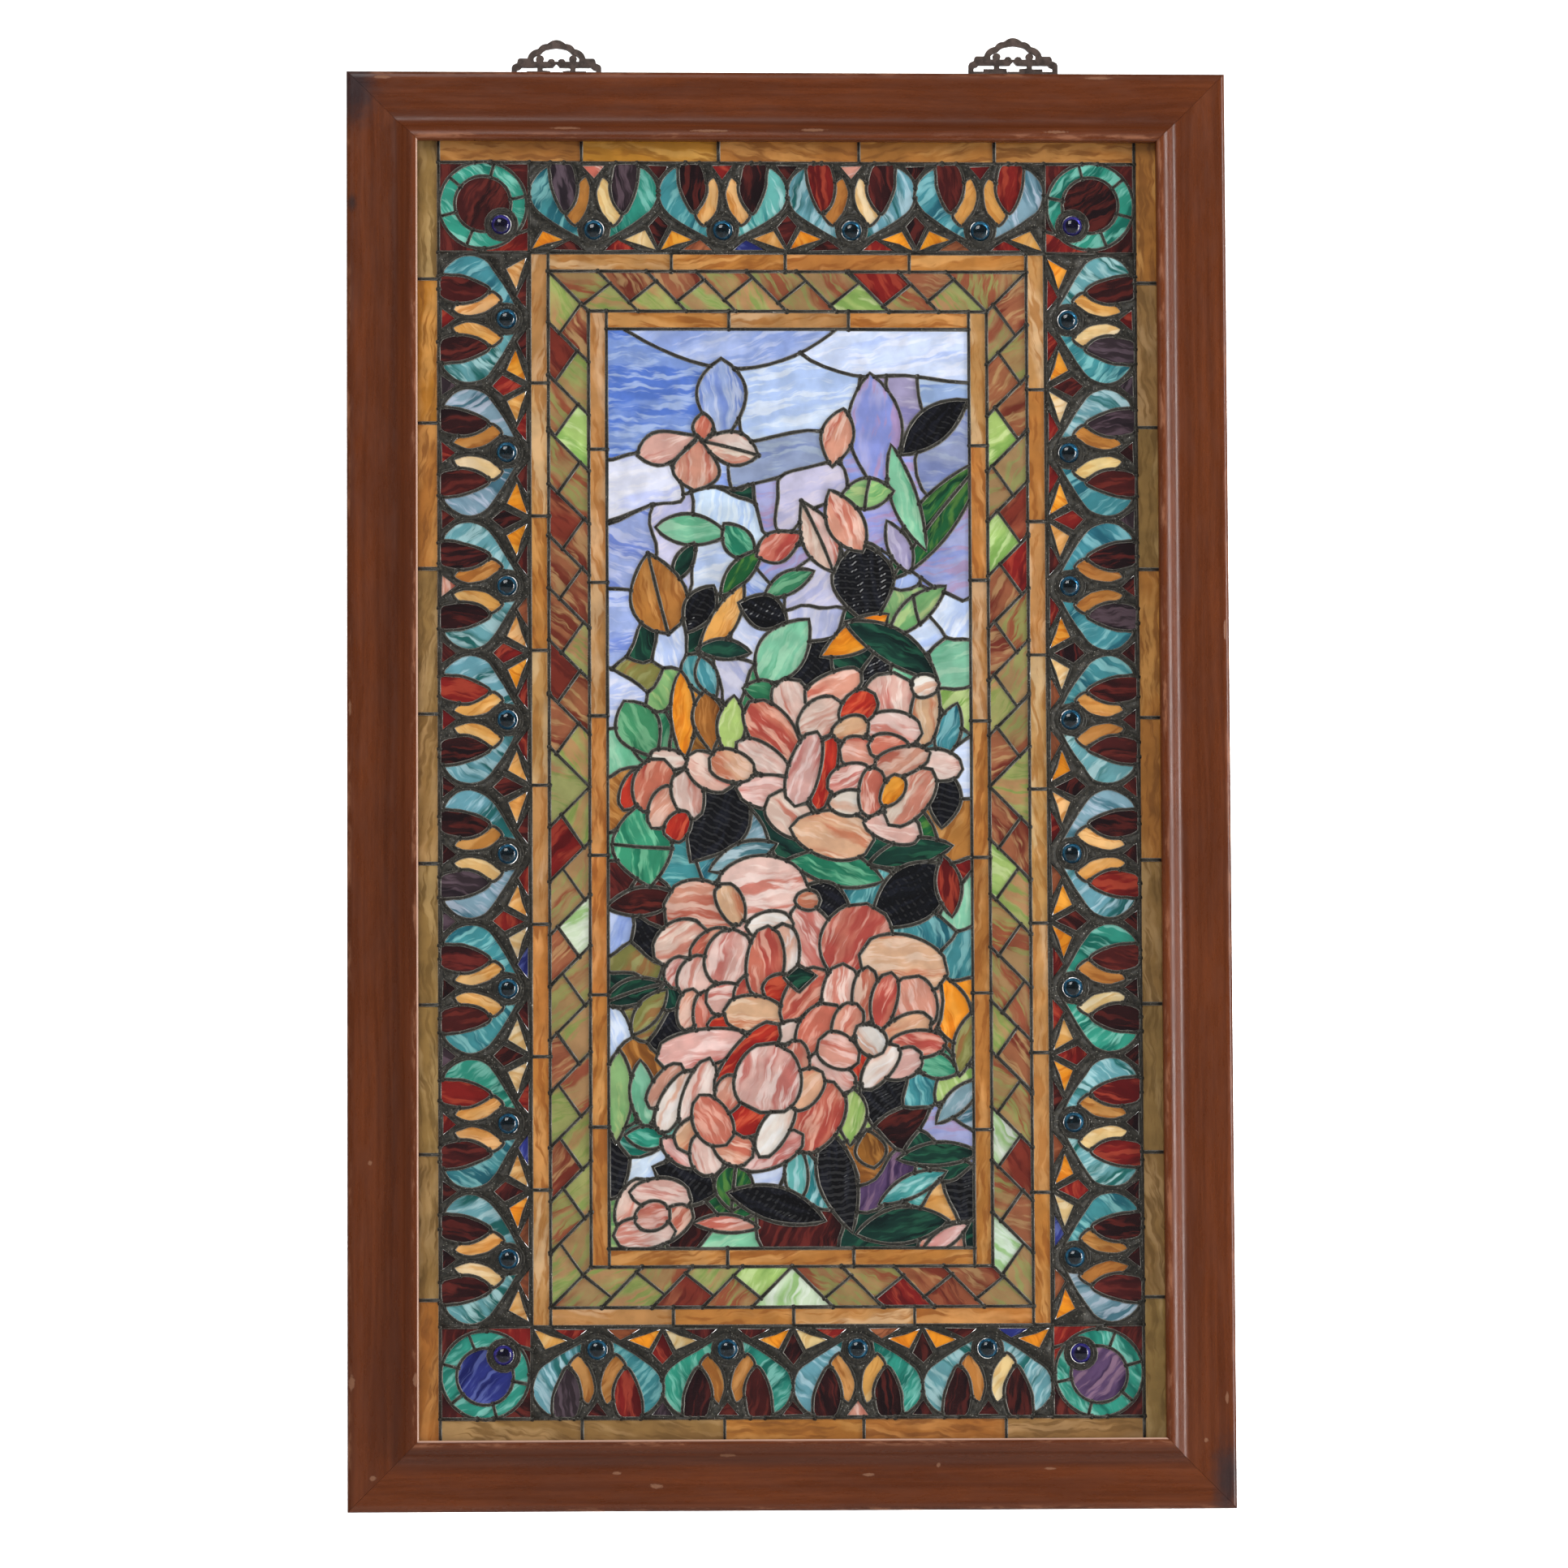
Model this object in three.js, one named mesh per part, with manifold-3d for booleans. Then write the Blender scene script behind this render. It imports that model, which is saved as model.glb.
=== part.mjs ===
// A framed stained glass window that hangs by two fretwork hangers.
// Millimetres, +Z up. The glazed front looks along -Y and the back lies in the wall plane, y = 0.
// The origin is the middle of the top rail's back.
// Plans are drawn in (x, z) about the middle of the window. A depth is a distance in front of the wall.

import * as THREE from 'three';
import { mergeGeometries, mergeVertices } from 'three/addons/utils/BufferGeometryUtils.js';
import Module from 'manifold-3d';

const wasm = await Module();
wasm.setup();

// ---------------------------------------------------------------- driving dimensions

const FRAME_WIDTH = 675;
const FRAME_HEIGHT = 1100;
const RAIL_WIDTH = 54;
const FIT_GAP = 0.3;

const GLASS_BACK = 19;
const GLASS_FRONT = 22;
const SEAM_RISE = 1;
const SEAM_WIDTH = 3.4;
const WEB_WIDTH = 2.4;
const PANEL_REBATE = 6;
const CAME_WALL = 1.2;

// The bands of the panel, from the sight edge inward, and the picture in the middle.
const STRIP_BAND = 16.25;
const JEWEL_BAND = 69.5;
const INNER_BAND = 14.25;
const CHEVRON_BAND = 30.75;
const AMBER_BAND = 13.75;

const JEWEL_RADIUS = 8;
const JEWEL_SIDES = 8;
const JEWEL_DOME = 3.4;
const JEWEL_INSET = 52;
const TOP_JEWELS = 4;
const SIDE_JEWELS = 8;

const HANGER_HALF_SPACING = 176;
const HANGER_THICKNESS = 4;
const HANGER_HALF_WIDTH = 34.5;
const HANGER_DROP = 26;
const RIGHT_HANGER_LIFT = 3;

// ---------------------------------------------------------------- values that follow from them

const SIGHT = { x: FRAME_WIDTH / 2 - RAIL_WIDTH, z: FRAME_HEIGHT / 2 - RAIL_WIDTH };
const PANEL = grow(SIGHT, PANEL_REBATE);
const STRIPS_END = grow(SIGHT, -STRIP_BAND);
const JEWELS_END = grow(STRIPS_END, -JEWEL_BAND);
const INNER_END = grow(JEWELS_END, -INNER_BAND);
const CHEVRONS_END = grow(INNER_END, -CHEVRON_BAND);
const PICTURE = grow(CHEVRONS_END, -AMBER_BAND);
const BAND_EDGES = [STRIPS_END, JEWELS_END, INNER_END, CHEVRONS_END, PICTURE];

const NET_FRONT = GLASS_FRONT + FIT_GAP + SEAM_RISE;
const NET_BACK = GLASS_BACK - FIT_GAP - SEAM_RISE;
const HALF_SEAM = SEAM_WIDTH / 2;
const HALF_WEB = WEB_WIDTH / 2;

// Joined solids are cleaned of slivers thinner than this.
const TRIM = 0.02;

const SIDES = ['top', 'right', 'bottom', 'left'];

// ---------------------------------------------------------------- materials

const COLOURS = {
  wood: new THREE.MeshStandardMaterial({ color: 0x6b3a22, roughness: 0.45, metalness: 0 }),
  hanger: new THREE.MeshStandardMaterial({ color: 0x3a2a20, roughness: 0.5, metalness: 0.8 }),
  solder: new THREE.MeshStandardMaterial({ color: 0x33302c, roughness: 0.5, metalness: 0.7 }),
  amber: new THREE.MeshStandardMaterial({ color: 0xb9762c, roughness: 0.25, metalness: 0 }),
  border: new THREE.MeshStandardMaterial({ color: 0x7d9d93, roughness: 0.25, metalness: 0 }),
  chevron: new THREE.MeshStandardMaterial({ color: 0x6d5a36, roughness: 0.25, metalness: 0 }),
  picture: new THREE.MeshStandardMaterial({ color: 0xa9a6ac, roughness: 0.25, metalness: 0 }),
  teal: new THREE.MeshStandardMaterial({ color: 0x1d7d96, roughness: 0.1, metalness: 0 }),
  purple: new THREE.MeshStandardMaterial({ color: 0x3b3a86, roughness: 0.1, metalness: 0 }),
};

// ---------------------------------------------------------------- plan helpers

function grow(rect, distance) {
  return { x: rect.x + distance, z: rect.z + distance };
}

function rectPoints(rect) {
  return [[-rect.x, -rect.z], [rect.x, -rect.z], [rect.x, rect.z], [-rect.x, rect.z]];
}

function rectCell(u0, u1, v0, v1) {
  return [[u0, v0], [u1, v0], [u1, v1], [u0, v1]];
}

function toShape(points) {
  return new THREE.Shape(points.map(([x, z]) => new THREE.Vector2(x, z)));
}

// A regular polygon with its first corner at the top.
function circlePoints(x, z, radius, count) {
  const points = [];
  for (let i = 0; i < count; i += 1) {
    const angle = (2 * Math.PI * i) / count;
    points.push([x + radius * Math.sin(angle), z + radius * Math.cos(angle)]);
  }
  return points;
}

// A place on one side of a band: u runs clockwise from the middle of the side, v runs inward.
function onSide(side, outer, u, v) {
  if (side === 'top') return [u, outer.z - v];
  if (side === 'right') return [outer.x - v, -u];
  if (side === 'bottom') return [-u, v - outer.z];
  return [v - outer.x, u];
}

function placeOnSide(side, outer, cells) {
  return cells.map((cell) => cell.map(([u, v]) => onSide(side, outer, u, v)));
}

function halfLength(side, rect) {
  return side === 'top' || side === 'bottom' ? rect.x : rect.z;
}

// ---------------------------------------------------------------- solid helpers

// Extrudes a plan between two depths in front of the wall.
function slab(points, back, front) {
  const geometry = new THREE.ExtrudeGeometry(toShape(points), { depth: front - back, bevelEnabled: false });
  geometry.translate(0, 0, back);
  geometry.rotateX(Math.PI / 2);
  return geometry;
}

function toSolid(geometry) {
  const plain = geometry.clone();
  plain.deleteAttribute('normal');
  plain.deleteAttribute('uv');
  const merged = mergeVertices(plain, 1e-4);
  return new wasm.Manifold(new wasm.Mesh({
    numProp: 3,
    vertProperties: new Float32Array(merged.attributes.position.array),
    triVerts: new Uint32Array(merged.index.array),
  }));
}

function toGeometry(solid) {
  const mesh = solid.asOriginal().simplify(TRIM).getMesh();
  const geometry = new THREE.BufferGeometry();
  geometry.setAttribute('position', new THREE.BufferAttribute(mesh.vertProperties, 3));
  geometry.setIndex(new THREE.BufferAttribute(mesh.triVerts, 1));
  geometry.computeVertexNormals();
  return geometry;
}

function prism(points, back, front) {
  return toSolid(slab(points, back, front));
}

// A slab with an opening right through it for each cell.
function pierced(points, cells, back, front) {
  const plugs = cells.map((cell) => slab(cell, back - 1, front + 1));
  return prism(points, back, front).subtract(toSolid(mergeGeometries(plugs)));
}

// ---------------------------------------------------------------- the wooden frame

// The rail's section as [depth, inset from the outer edge]. It runs from the back's outer edge, over
// the rounded edge, the broad scooped band and the raised inner bead, to the groove for the panel.
function railSection() {
  const groove = RAIL_WIDTH - PANEL_REBATE - FIT_GAP;
  return [
    [0, 0],
    [22, 0],
    [24.8, 1.2],
    [26, 4.5],
    [25.2, 20],
    [24.8, 34],
    [25.6, 38.5],
    [29.4, 42.5],
    [32.6, 46],
    [34, 50],
    [33.4, 52.6],
    [32.2, RAIL_WIDTH],
    [NET_FRONT + FIT_GAP, RAIL_WIDTH],
    [NET_FRONT + FIT_GAP, groove],
    [NET_BACK - FIT_GAP, groove],
    [NET_BACK - FIT_GAP, RAIL_WIDTH],
    [0, RAIL_WIDTH],
  ];
}

// A mitred rail along X whose outer edge lies at z = 0, with the window below it.
function railGeometry(length) {
  const geometry = new THREE.ExtrudeGeometry(toShape(railSection()), { depth: 1, bevelEnabled: false });
  const position = geometry.attributes.position;
  for (let i = 0; i < position.count; i += 1) {
    const depth = position.getX(i);
    const inset = position.getY(i);
    const end = position.getZ(i) > 0.5 ? 1 : -1;
    position.setXYZ(i, end * (length / 2 - inset - FIT_GAP / 2), -depth, -inset);
  }
  geometry.computeVertexNormals();
  return geometry;
}

// The top rail's back has a recess behind each hanger, open at the top edge.
function topRailGeometry() {
  let rail = toSolid(railGeometry(FRAME_WIDTH));
  for (const { x, lift } of hangerPlaces()) {
    const halfWidth = HANGER_HALF_WIDTH + FIT_GAP;
    const bottom = lift - HANGER_DROP - FIT_GAP;
    const recess = rectCell(x - halfWidth, x + halfWidth, bottom, 1);
    rail = rail.subtract(prism(recess, -1, HANGER_THICKNESS + FIT_GAP));
  }
  return toGeometry(rail);
}

function addFrame(window) {
  const rails = [
    { name: 'frame_top_rail', geometry: topRailGeometry(), at: [0, FRAME_HEIGHT / 2] },
    { name: 'frame_right_stile', geometry: railGeometry(FRAME_HEIGHT), at: [FRAME_WIDTH / 2, 0] },
    { name: 'frame_bottom_rail', geometry: railGeometry(FRAME_WIDTH), at: [0, -FRAME_HEIGHT / 2] },
    { name: 'frame_left_stile', geometry: railGeometry(FRAME_HEIGHT), at: [-FRAME_WIDTH / 2, 0] },
  ];
  rails.forEach(({ name, geometry, at }, quarter) => {
    const rail = new THREE.Mesh(geometry, COLOURS.wood);
    rail.name = name;
    rail.position.set(at[0], 0, at[1]);
    rail.rotation.y = (quarter * Math.PI) / 2;
    window.add(rail);
  });
}

// ---------------------------------------------------------------- the hangers

function hangerPlaces() {
  return [
    { name: 'hanger_left', x: -HANGER_HALF_SPACING, lift: 0 },
    { name: 'hanger_right', x: HANGER_HALF_SPACING, lift: RIGHT_HANGER_LIFT },
  ];
}

// Mirrors the left half of a closed plan outline to its right half.
function mirrored(half) {
  return [...half, ...half.map(([x, z]) => [-x, z]).reverse()];
}

// A scalloped run: each lobe is an arc from one notch to the next, bulging away from (0, 0).
function lobes(notches, bulge, steps) {
  const points = [];
  for (let i = 0; i + 1 < notches.length; i += 1) {
    const [x0, z0] = notches[i];
    const [x1, z1] = notches[i + 1];
    const length = Math.hypot(x1 - x0, z1 - z0);
    for (let k = 0; k < steps; k += 1) {
      const t = k / steps;
      const lift = 4 * t * (1 - t) * bulge;
      points.push([
        x0 + (x1 - x0) * t - (lift * (z1 - z0)) / length,
        z0 + (z1 - z0) * t + (lift * (x1 - x0)) / length,
      ]);
    }
  }
  return points;
}

// A cast plate: square below, behind the rail, and a stepped cloud scroll above it with a window,
// three slots under a cross bar, two knobs and two curls. Heights are from the rail's top edge.
function hangerGeometry() {
  const shoulder = 11.7;
  const foot = 7.5;
  const barTop = 8.4;
  const barBottom = 5.7;
  const slotBottom = 0.5;
  const windowHalf = 17;
  const dome = [[-22, shoulder], [-14.5, 21], [-6.5, 26.2], [6.5, 26.2], [14.5, 21], [22, shoulder]];
  const outline = [
    [-HANGER_HALF_WIDTH, -HANGER_DROP],
    [-HANGER_HALF_WIDTH, foot - 2.5],
    [-HANGER_HALF_WIDTH + 2.5, foot],
    [-28.5, foot],
    [-28.5, shoulder],
    ...lobes(dome, 1.8, 2),
    [22, shoulder],
    [28.5, shoulder],
    [28.5, foot],
    [HANGER_HALF_WIDTH - 2.5, foot],
    [HANGER_HALF_WIDTH, foot - 2.5],
    [HANGER_HALF_WIDTH, -HANGER_DROP],
  ];
  const arch = mirrored([[-windowHalf, barTop], [-windowHalf, 12.5], [-11, 18], [-5, 21.8]]);
  const slots = [
    rectCell(-30.5, -14, slotBottom, barBottom),
    rectCell(-10.5, 10.5, slotBottom, barBottom),
    rectCell(14, 30.5, slotBottom, barBottom),
  ];
  let plate = pierced(outline, [arch, ...slots], 0, HANGER_THICKNESS);
  for (const side of [-1, 1]) {
    const knob = circlePoints(side * 12, 12.2, 2.5, 6);
    const stem = rectCell(side * 12 - 1.1, side * 12 + 1.1, barTop - 1, 12);
    const curl = circlePoints(side * 3.3, 10.4, 2.7, 6);
    for (const piece of [knob, stem, curl]) {
      plate = plate.add(prism(piece, 0, HANGER_THICKNESS));
    }
  }
  return toGeometry(plate);
}

function addHangers(window) {
  for (const { name, x, lift } of hangerPlaces()) {
    const hanger = new THREE.Mesh(hangerGeometry(), COLOURS.hanger);
    hanger.name = name;
    hanger.position.set(x, 0, FRAME_HEIGHT / 2 + lift);
    window.add(hanger);
  }
}

// ---------------------------------------------------------------- glass cells of the bands

// Cells are the openings between the seams, so each is half a seam smaller all round than the
// piece of glass behind it.

// Strips end to end along one side.
function stripCells(half, count, v0, v1) {
  const pitch = (2 * half) / count;
  const cells = [];
  for (let i = 0; i < count; i += 1) {
    const start = -half + i * pitch;
    cells.push(rectCell(start + HALF_SEAM, start + pitch - HALF_SEAM, v0, v1));
  }
  return cells;
}

// One motif of the jewelled border: a pair of horns and a pair of broad petals about the jewel.
// u runs from the jewel along the side, v from the band's outer edge inward.
function motifCells(halfPitch) {
  const horn = [[12, 59], [33, 31], [36, 4], [halfPitch - HALF_SEAM, 24], [36, 48]];
  const petal = [[11, 4], [33, 4], [19, 45], [5, 27]];
  const right = [horn, petal];
  const left = right.map((cell) => cell.map(([u, v]) => [-u, v]));
  return [...right, ...left];
}

// The crown between two motifs, whose feet reach towards their jewels.
function crownCell(u) {
  const foot = JEWEL_BAND - HALF_SEAM;
  return [[u - 36, foot], [u, 43.5], [u + 36, foot]];
}

function jewelPlaces() {
  const places = [];
  for (const side of SIDES) {
    const half = halfLength(side, JEWELS_END);
    const count = side === 'top' || side === 'bottom' ? TOP_JEWELS : SIDE_JEWELS;
    const halfPitch = half / count;
    for (let i = 0; i < count; i += 1) {
      places.push({ side, index: i, halfPitch, u: -half + (2 * i + 1) * halfPitch, last: i === count - 1 });
    }
  }
  return places;
}

// The corner square: a round boss behind the corner jewel and a spandrel in each free corner.
// Local places run inward from the square's outer corner.
const BOSS = { centre: 34, radius: 25, spandrelReach: 44 };
const CORNER_JEWEL = 48;

function bossPoint(radius, degrees) {
  const angle = (degrees * Math.PI) / 180;
  return [BOSS.centre + radius * Math.cos(angle), BOSS.centre + radius * Math.sin(angle)];
}

// The boss is round except where the jewel bites into its inner side.
function bossCell() {
  const bite = JEWEL_RADIUS + HALF_SEAM;
  const round = [78, 127, 176, 225, 274, 323, 372].map((degrees) => bossPoint(BOSS.radius, degrees));
  return [...round, [CORNER_JEWEL - bite, CORNER_JEWEL - bite]];
}

function spandrelCells() {
  return [135, 225, 315].map((middle) => [
    bossPoint(BOSS.radius + 2 * SEAM_WIDTH, middle - 28),
    bossPoint(BOSS.radius + 2 * SEAM_WIDTH, middle + 28),
    bossPoint(BOSS.spandrelReach, middle),
  ]);
}

function cornerCells() {
  const local = [bossCell(), ...spandrelCells()];
  const cells = [];
  for (const [signX, signZ] of [[1, 1], [1, -1], [-1, -1], [-1, 1]]) {
    for (const cell of local) {
      cells.push(cell.map(([p, q]) => [signX * (STRIPS_END.x - p), signZ * (STRIPS_END.z - q)]));
    }
  }
  return cells;
}

// Cells that lean with the mitre at their own end, and a three-cornered one where they turn.
function chevronCells(half, middle, before, after) {
  const width = CHEVRON_BAND;
  const v0 = HALF_SEAM;
  const v1 = width - HALF_SEAM;
  const skew = HALF_SEAM * Math.SQRT2;
  const leaning = (end, count) => {
    const pitch = (end + half) / count;
    return Array.from({ length: count }, (_, i) => {
      const near = -half + i * pitch + skew;
      const far = -half + (i + 1) * pitch - skew;
      return [[near + v0, v0], [far + v0, v0], [far + v1, v1], [near + v1, v1]];
    });
  };
  const reach = width - v0 - skew;
  return [
    ...leaning(middle - width, before),
    [[middle - reach, v0], [middle + reach, v0], [middle, v1 - skew]],
    ...leaning(-middle - width, after).map((cell) => cell.map(([u, v]) => [-u, v]).reverse()),
  ];
}

function bandCells() {
  const cells = cornerCells();
  for (const side of SIDES) {
    const upright = side === 'left' || side === 'right';
    const strips = stripCells(
      halfLength(side, upright ? SIGHT : STRIPS_END),
      upright ? 9 : 5,
      -1,
      STRIP_BAND - HALF_SEAM,
    );
    const inner = stripCells(
      halfLength(side, upright ? JEWELS_END : INNER_END),
      upright ? 8 : 4,
      HALF_SEAM,
      INNER_BAND - HALF_SEAM,
    );
    const amber = stripCells(
      halfLength(side, upright ? CHEVRONS_END : PICTURE),
      upright ? 7 : 3,
      HALF_SEAM,
      AMBER_BAND - HALF_SEAM,
    );
    const span = halfLength(side, INNER_END);
    const each = upright ? 9 : 4;
    const chevrons = side === 'top'
      ? chevronCells(span, span - CHEVRON_BAND, 2 * each, 0)
      : chevronCells(span, 0, each, each);
    cells.push(...placeOnSide(side, SIGHT, strips));
    cells.push(...placeOnSide(side, JEWELS_END, inner));
    cells.push(...placeOnSide(side, INNER_END, chevrons));
    cells.push(...placeOnSide(side, CHEVRONS_END, amber));
  }
  for (const { side, u, halfPitch, last } of jewelPlaces()) {
    const motif = motifCells(halfPitch).map((cell) => cell.map(([du, v]) => [u + du, v]));
    if (!last) motif.push(crownCell(u + halfPitch));
    cells.push(...placeOnSide(side, STRIPS_END, motif));
  }
  return cells;
}

// ---------------------------------------------------------------- leads of the picture

// Long seams of the sky and short ones that tie the figures together, as open runs of points.
const SEAM_RUNS = [
  [[-141, 347], [-116, 346], [-75, 327], [-30, 321], [10, 332], [38, 354]],
  [[10, 332], [55, 315], [95, 317], [141, 314]],
  [[-141, 257], [-100, 257]],
  [[-45, 262], [0, 268], [50, 272]],
  [[-141, 207], [-105, 217], [-60, 230], [58, 250]],
  [[-141, 133], [-100, 170]],
  [[-100, 176], [0, 196]],
  [[64, 172], [141, 160]],
  [[-14, 95], [6, 50]],
  [[66, 118], [55, 75]],
  [[-141, -14], [-122, -8]],
  [[-40, -2], [0, -10]],
  [[108, 12], [141, 5]],
  [[110, -65], [141, -50]],
  [[100, -190], [141, -215]],
  [[80, -105], [70, -130]],
  [[0, -95], [50, -46]],
  [[-62, -285], [-42, -312]],
  [[15, -325], [75, -330]],
];

// Leaves and upright petals: middle, length, width and the direction of the midrib in degrees.
const LEAVES = [
  { x: 64, z: 272, length: 86, width: 42, turn: 95 },
  { x: -50, z: 295, length: 62, width: 38, turn: 95 },
  { x: 112, z: 205, length: 112, width: 34, turn: 55 },
  { x: 58, z: 152, length: 72, width: 46, turn: 100 },
  { x: -100, z: 150, length: 62, width: 42, turn: 105 },
  { x: -6, z: 106, length: 60, width: 36, turn: 50 },
  { x: -56, z: -26, length: 70, width: 50, turn: 60 },
  { x: 92, z: -88, length: 72, width: 44, turn: 50 },
  { x: -124, z: -236, length: 76, width: 28, turn: 88 },
  { x: 38, z: -300, length: 84, width: 32, turn: 105 },
  { x: -10, z: -320, length: 74, width: 30, turn: -15 },
  { x: 92, z: -332, length: 88, width: 30, turn: 8 },
];

// Open flowers: middle, radius, number of petals and the turn of the first one in degrees.
const BLOOMS = [
  { x: -74, z: 259, radius: 34, petals: 4, turn: 20 },
  { x: 24, z: 190, radius: 32, petals: 3, turn: 90 },
  { x: -98, z: 0, radius: 32, petals: 4, turn: 60 },
  { x: 50, z: 12, radius: 66, petals: 5, turn: 10 },
  { x: 56, z: -174, radius: 54, petals: 5, turn: 30 },
  { x: -46, z: -130, radius: 60, petals: 5, turn: 0 },
  { x: -40, z: -240, radius: 60, petals: 5, turn: 15 },
  { x: -112, z: -326, radius: 34, petals: 4, turn: 70 },
];

// A flat bar along a run of points, overlapping itself at the joints.
function seamRun(points) {
  let run = null;
  for (let i = 0; i + 1 < points.length; i += 1) {
    const [x0, z0] = points[i];
    const [x1, z1] = points[i + 1];
    const length = Math.hypot(x1 - x0, z1 - z0);
    const ax = ((x1 - x0) / length) * HALF_SEAM;
    const az = ((z1 - z0) / length) * HALF_SEAM;
    const bar = [
      [x0 - az - ax * 0.4, z0 + ax - az * 0.4],
      [x0 + az - ax * 0.4, z0 - ax - az * 0.4],
      [x1 + az + ax * 0.4, z1 - ax + az * 0.4],
      [x1 - az + ax * 0.4, z1 + ax + az * 0.4],
    ];
    const solid = prism(bar, GLASS_FRONT + FIT_GAP, NET_FRONT);
    run = run ? run.add(solid) : solid;
  }
  return run;
}

// A pointed oval about its midrib, wider or narrower by the growth.
function leafPoints({ x, z, length, width, turn }, growth) {
  const angle = (turn * Math.PI) / 180;
  const along = length / 2 + growth * 1.6;
  const across = width / 2 + growth;
  const outline = [[-1, 0], [-0.1, 0.95], [1, 0], [-0.1, -0.95]];
  return outline.map(([s, t]) => [
    x + s * along * Math.cos(angle) - t * across * Math.sin(angle),
    z + s * along * Math.sin(angle) + t * across * Math.cos(angle),
  ]);
}

// A flower's outline and its petals: a heart in the middle and a ring of broad petals about it.
function bloomPlan({ x, z, radius, petals, turn }) {
  const heart = radius * (petals > 4 ? 0.4 : 0.26);
  const first = (turn * Math.PI) / 180;
  const step = (2 * Math.PI) / petals;
  const at = (distance, angle) => [x + distance * Math.cos(angle), z + distance * Math.sin(angle)];
  const nearSlip = HALF_SEAM / heart;
  const farSlip = HALF_SEAM / radius;
  const notch = radius * 0.92;
  const outline = [];
  const cells = [];
  for (let i = 0; i < petals; i += 1) {
    const middle = first + i * step;
    outline.push(at(notch + HALF_SEAM, middle - step / 2));
    outline.push(at(radius + HALF_SEAM, middle));
    cells.push([
      at(heart + HALF_SEAM, middle - step / 2 + nearSlip),
      at(notch - HALF_SEAM, middle - step / 2 + farSlip),
      at(notch - HALF_SEAM, middle + step / 2 - farSlip),
      at(heart + HALF_SEAM, middle + step / 2 - nearSlip),
    ]);
  }
  cells.push(circlePoints(x, z, heart - HALF_SEAM, petals));
  return { outline, cells };
}

// Each figure covers the seams behind it, as the nearer pieces do in the cutting plan.
function pictureNet() {
  const back = GLASS_FRONT + FIT_GAP;
  let net = seamRun(SEAM_RUNS[0]);
  for (const run of SEAM_RUNS.slice(1)) net = net.add(seamRun(run));
  for (const leaf of LEAVES) {
    const outline = leafPoints(leaf, HALF_SEAM);
    net = net.subtract(prism(outline, back - 1, NET_FRONT + 1));
    net = net.add(pierced(outline, [leafPoints(leaf, -HALF_SEAM)], back, NET_FRONT));
  }
  for (const bloom of BLOOMS) {
    const { outline, cells } = bloomPlan(bloom);
    net = net.subtract(prism(outline, back - 1, NET_FRONT + 1));
    net = net.add(pierced(outline, cells, back, NET_FRONT));
  }
  return net.intersect(prism(rectPoints(grow(PICTURE, 1)), back - 1, NET_FRONT + 1));
}

// ---------------------------------------------------------------- the solder lattice

function ringSolid(outer, inner, back, front) {
  return pierced(rectPoints(outer), [rectPoints(inner)], back, front);
}

// The front net of seams, the edge came, and the webs between the bands, which stand proud behind.
function latticeGeometry() {
  const netBack = GLASS_FRONT + FIT_GAP;
  const cells = [...bandCells(), rectPoints(grow(PICTURE, -HALF_SEAM))];
  let lattice = pierced(rectPoints(PANEL), cells, netBack, NET_FRONT).add(pictureNet());
  const webFront = (netBack + NET_FRONT) / 2;
  lattice = lattice.add(ringSolid(PANEL, grow(PANEL, -CAME_WALL), NET_BACK, webFront));
  for (const edge of BAND_EDGES) {
    lattice = lattice.add(ringSolid(grow(edge, HALF_WEB), grow(edge, -HALF_WEB), NET_BACK, webFront));
  }
  return toGeometry(lattice);
}

// ---------------------------------------------------------------- glass plates and jewels

// The plates of one band: the uprights run the full height and the others fit between them.
function squarePlates(name, outer, inner, material) {
  const width = outer.x - inner.x;
  return SIDES.map((side) => {
    const upright = side === 'left' || side === 'right';
    const half = halfLength(side, outer) - (upright ? 0 : width + FIT_GAP);
    const points = rectCell(-half, half, 0, width).map(([u, v]) => onSide(side, outer, u, v));
    return { name: `${name}_${side}`, points, material };
  });
}

// The plates of one band, cut slanting at the corners.
function mitredPlates(name, outer, inner, material) {
  const width = outer.x - inner.x;
  return SIDES.map((side) => {
    const half = halfLength(side, outer) - FIT_GAP / 2;
    const plan = [[-half, 0], [half, 0], [half - width, width], [width - half, width]];
    const points = plan.map(([u, v]) => onSide(side, outer, u, v));
    return { name: `${name}_${side}`, points, material };
  });
}

// The line along a web, on its outer or its inner side, where the glass begins.
function outsideWeb(edge) {
  return grow(edge, HALF_WEB + FIT_GAP);
}

function insideWeb(edge) {
  return grow(edge, -HALF_WEB - FIT_GAP);
}

function addGlass(window) {
  const insideCame = grow(PANEL, -CAME_WALL - FIT_GAP);
  const plates = [
    ...squarePlates('outer_strip', insideCame, outsideWeb(STRIPS_END), COLOURS.amber),
    ...squarePlates('border_glass', insideWeb(STRIPS_END), outsideWeb(JEWELS_END), COLOURS.border),
    ...squarePlates('inner_strip', insideWeb(JEWELS_END), outsideWeb(INNER_END), COLOURS.amber),
    ...mitredPlates('chevron_glass', insideWeb(INNER_END), outsideWeb(CHEVRONS_END), COLOURS.chevron),
    ...squarePlates('amber_strip', insideWeb(CHEVRONS_END), outsideWeb(PICTURE), COLOURS.amber),
    { name: 'picture_glass', points: rectPoints(insideWeb(PICTURE)), material: COLOURS.picture },
  ];
  for (const { name, points, material } of plates) {
    const plate = new THREE.Mesh(slab(points, GLASS_BACK, GLASS_FRONT), material);
    plate.name = name;
    window.add(plate);
  }
}

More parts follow.
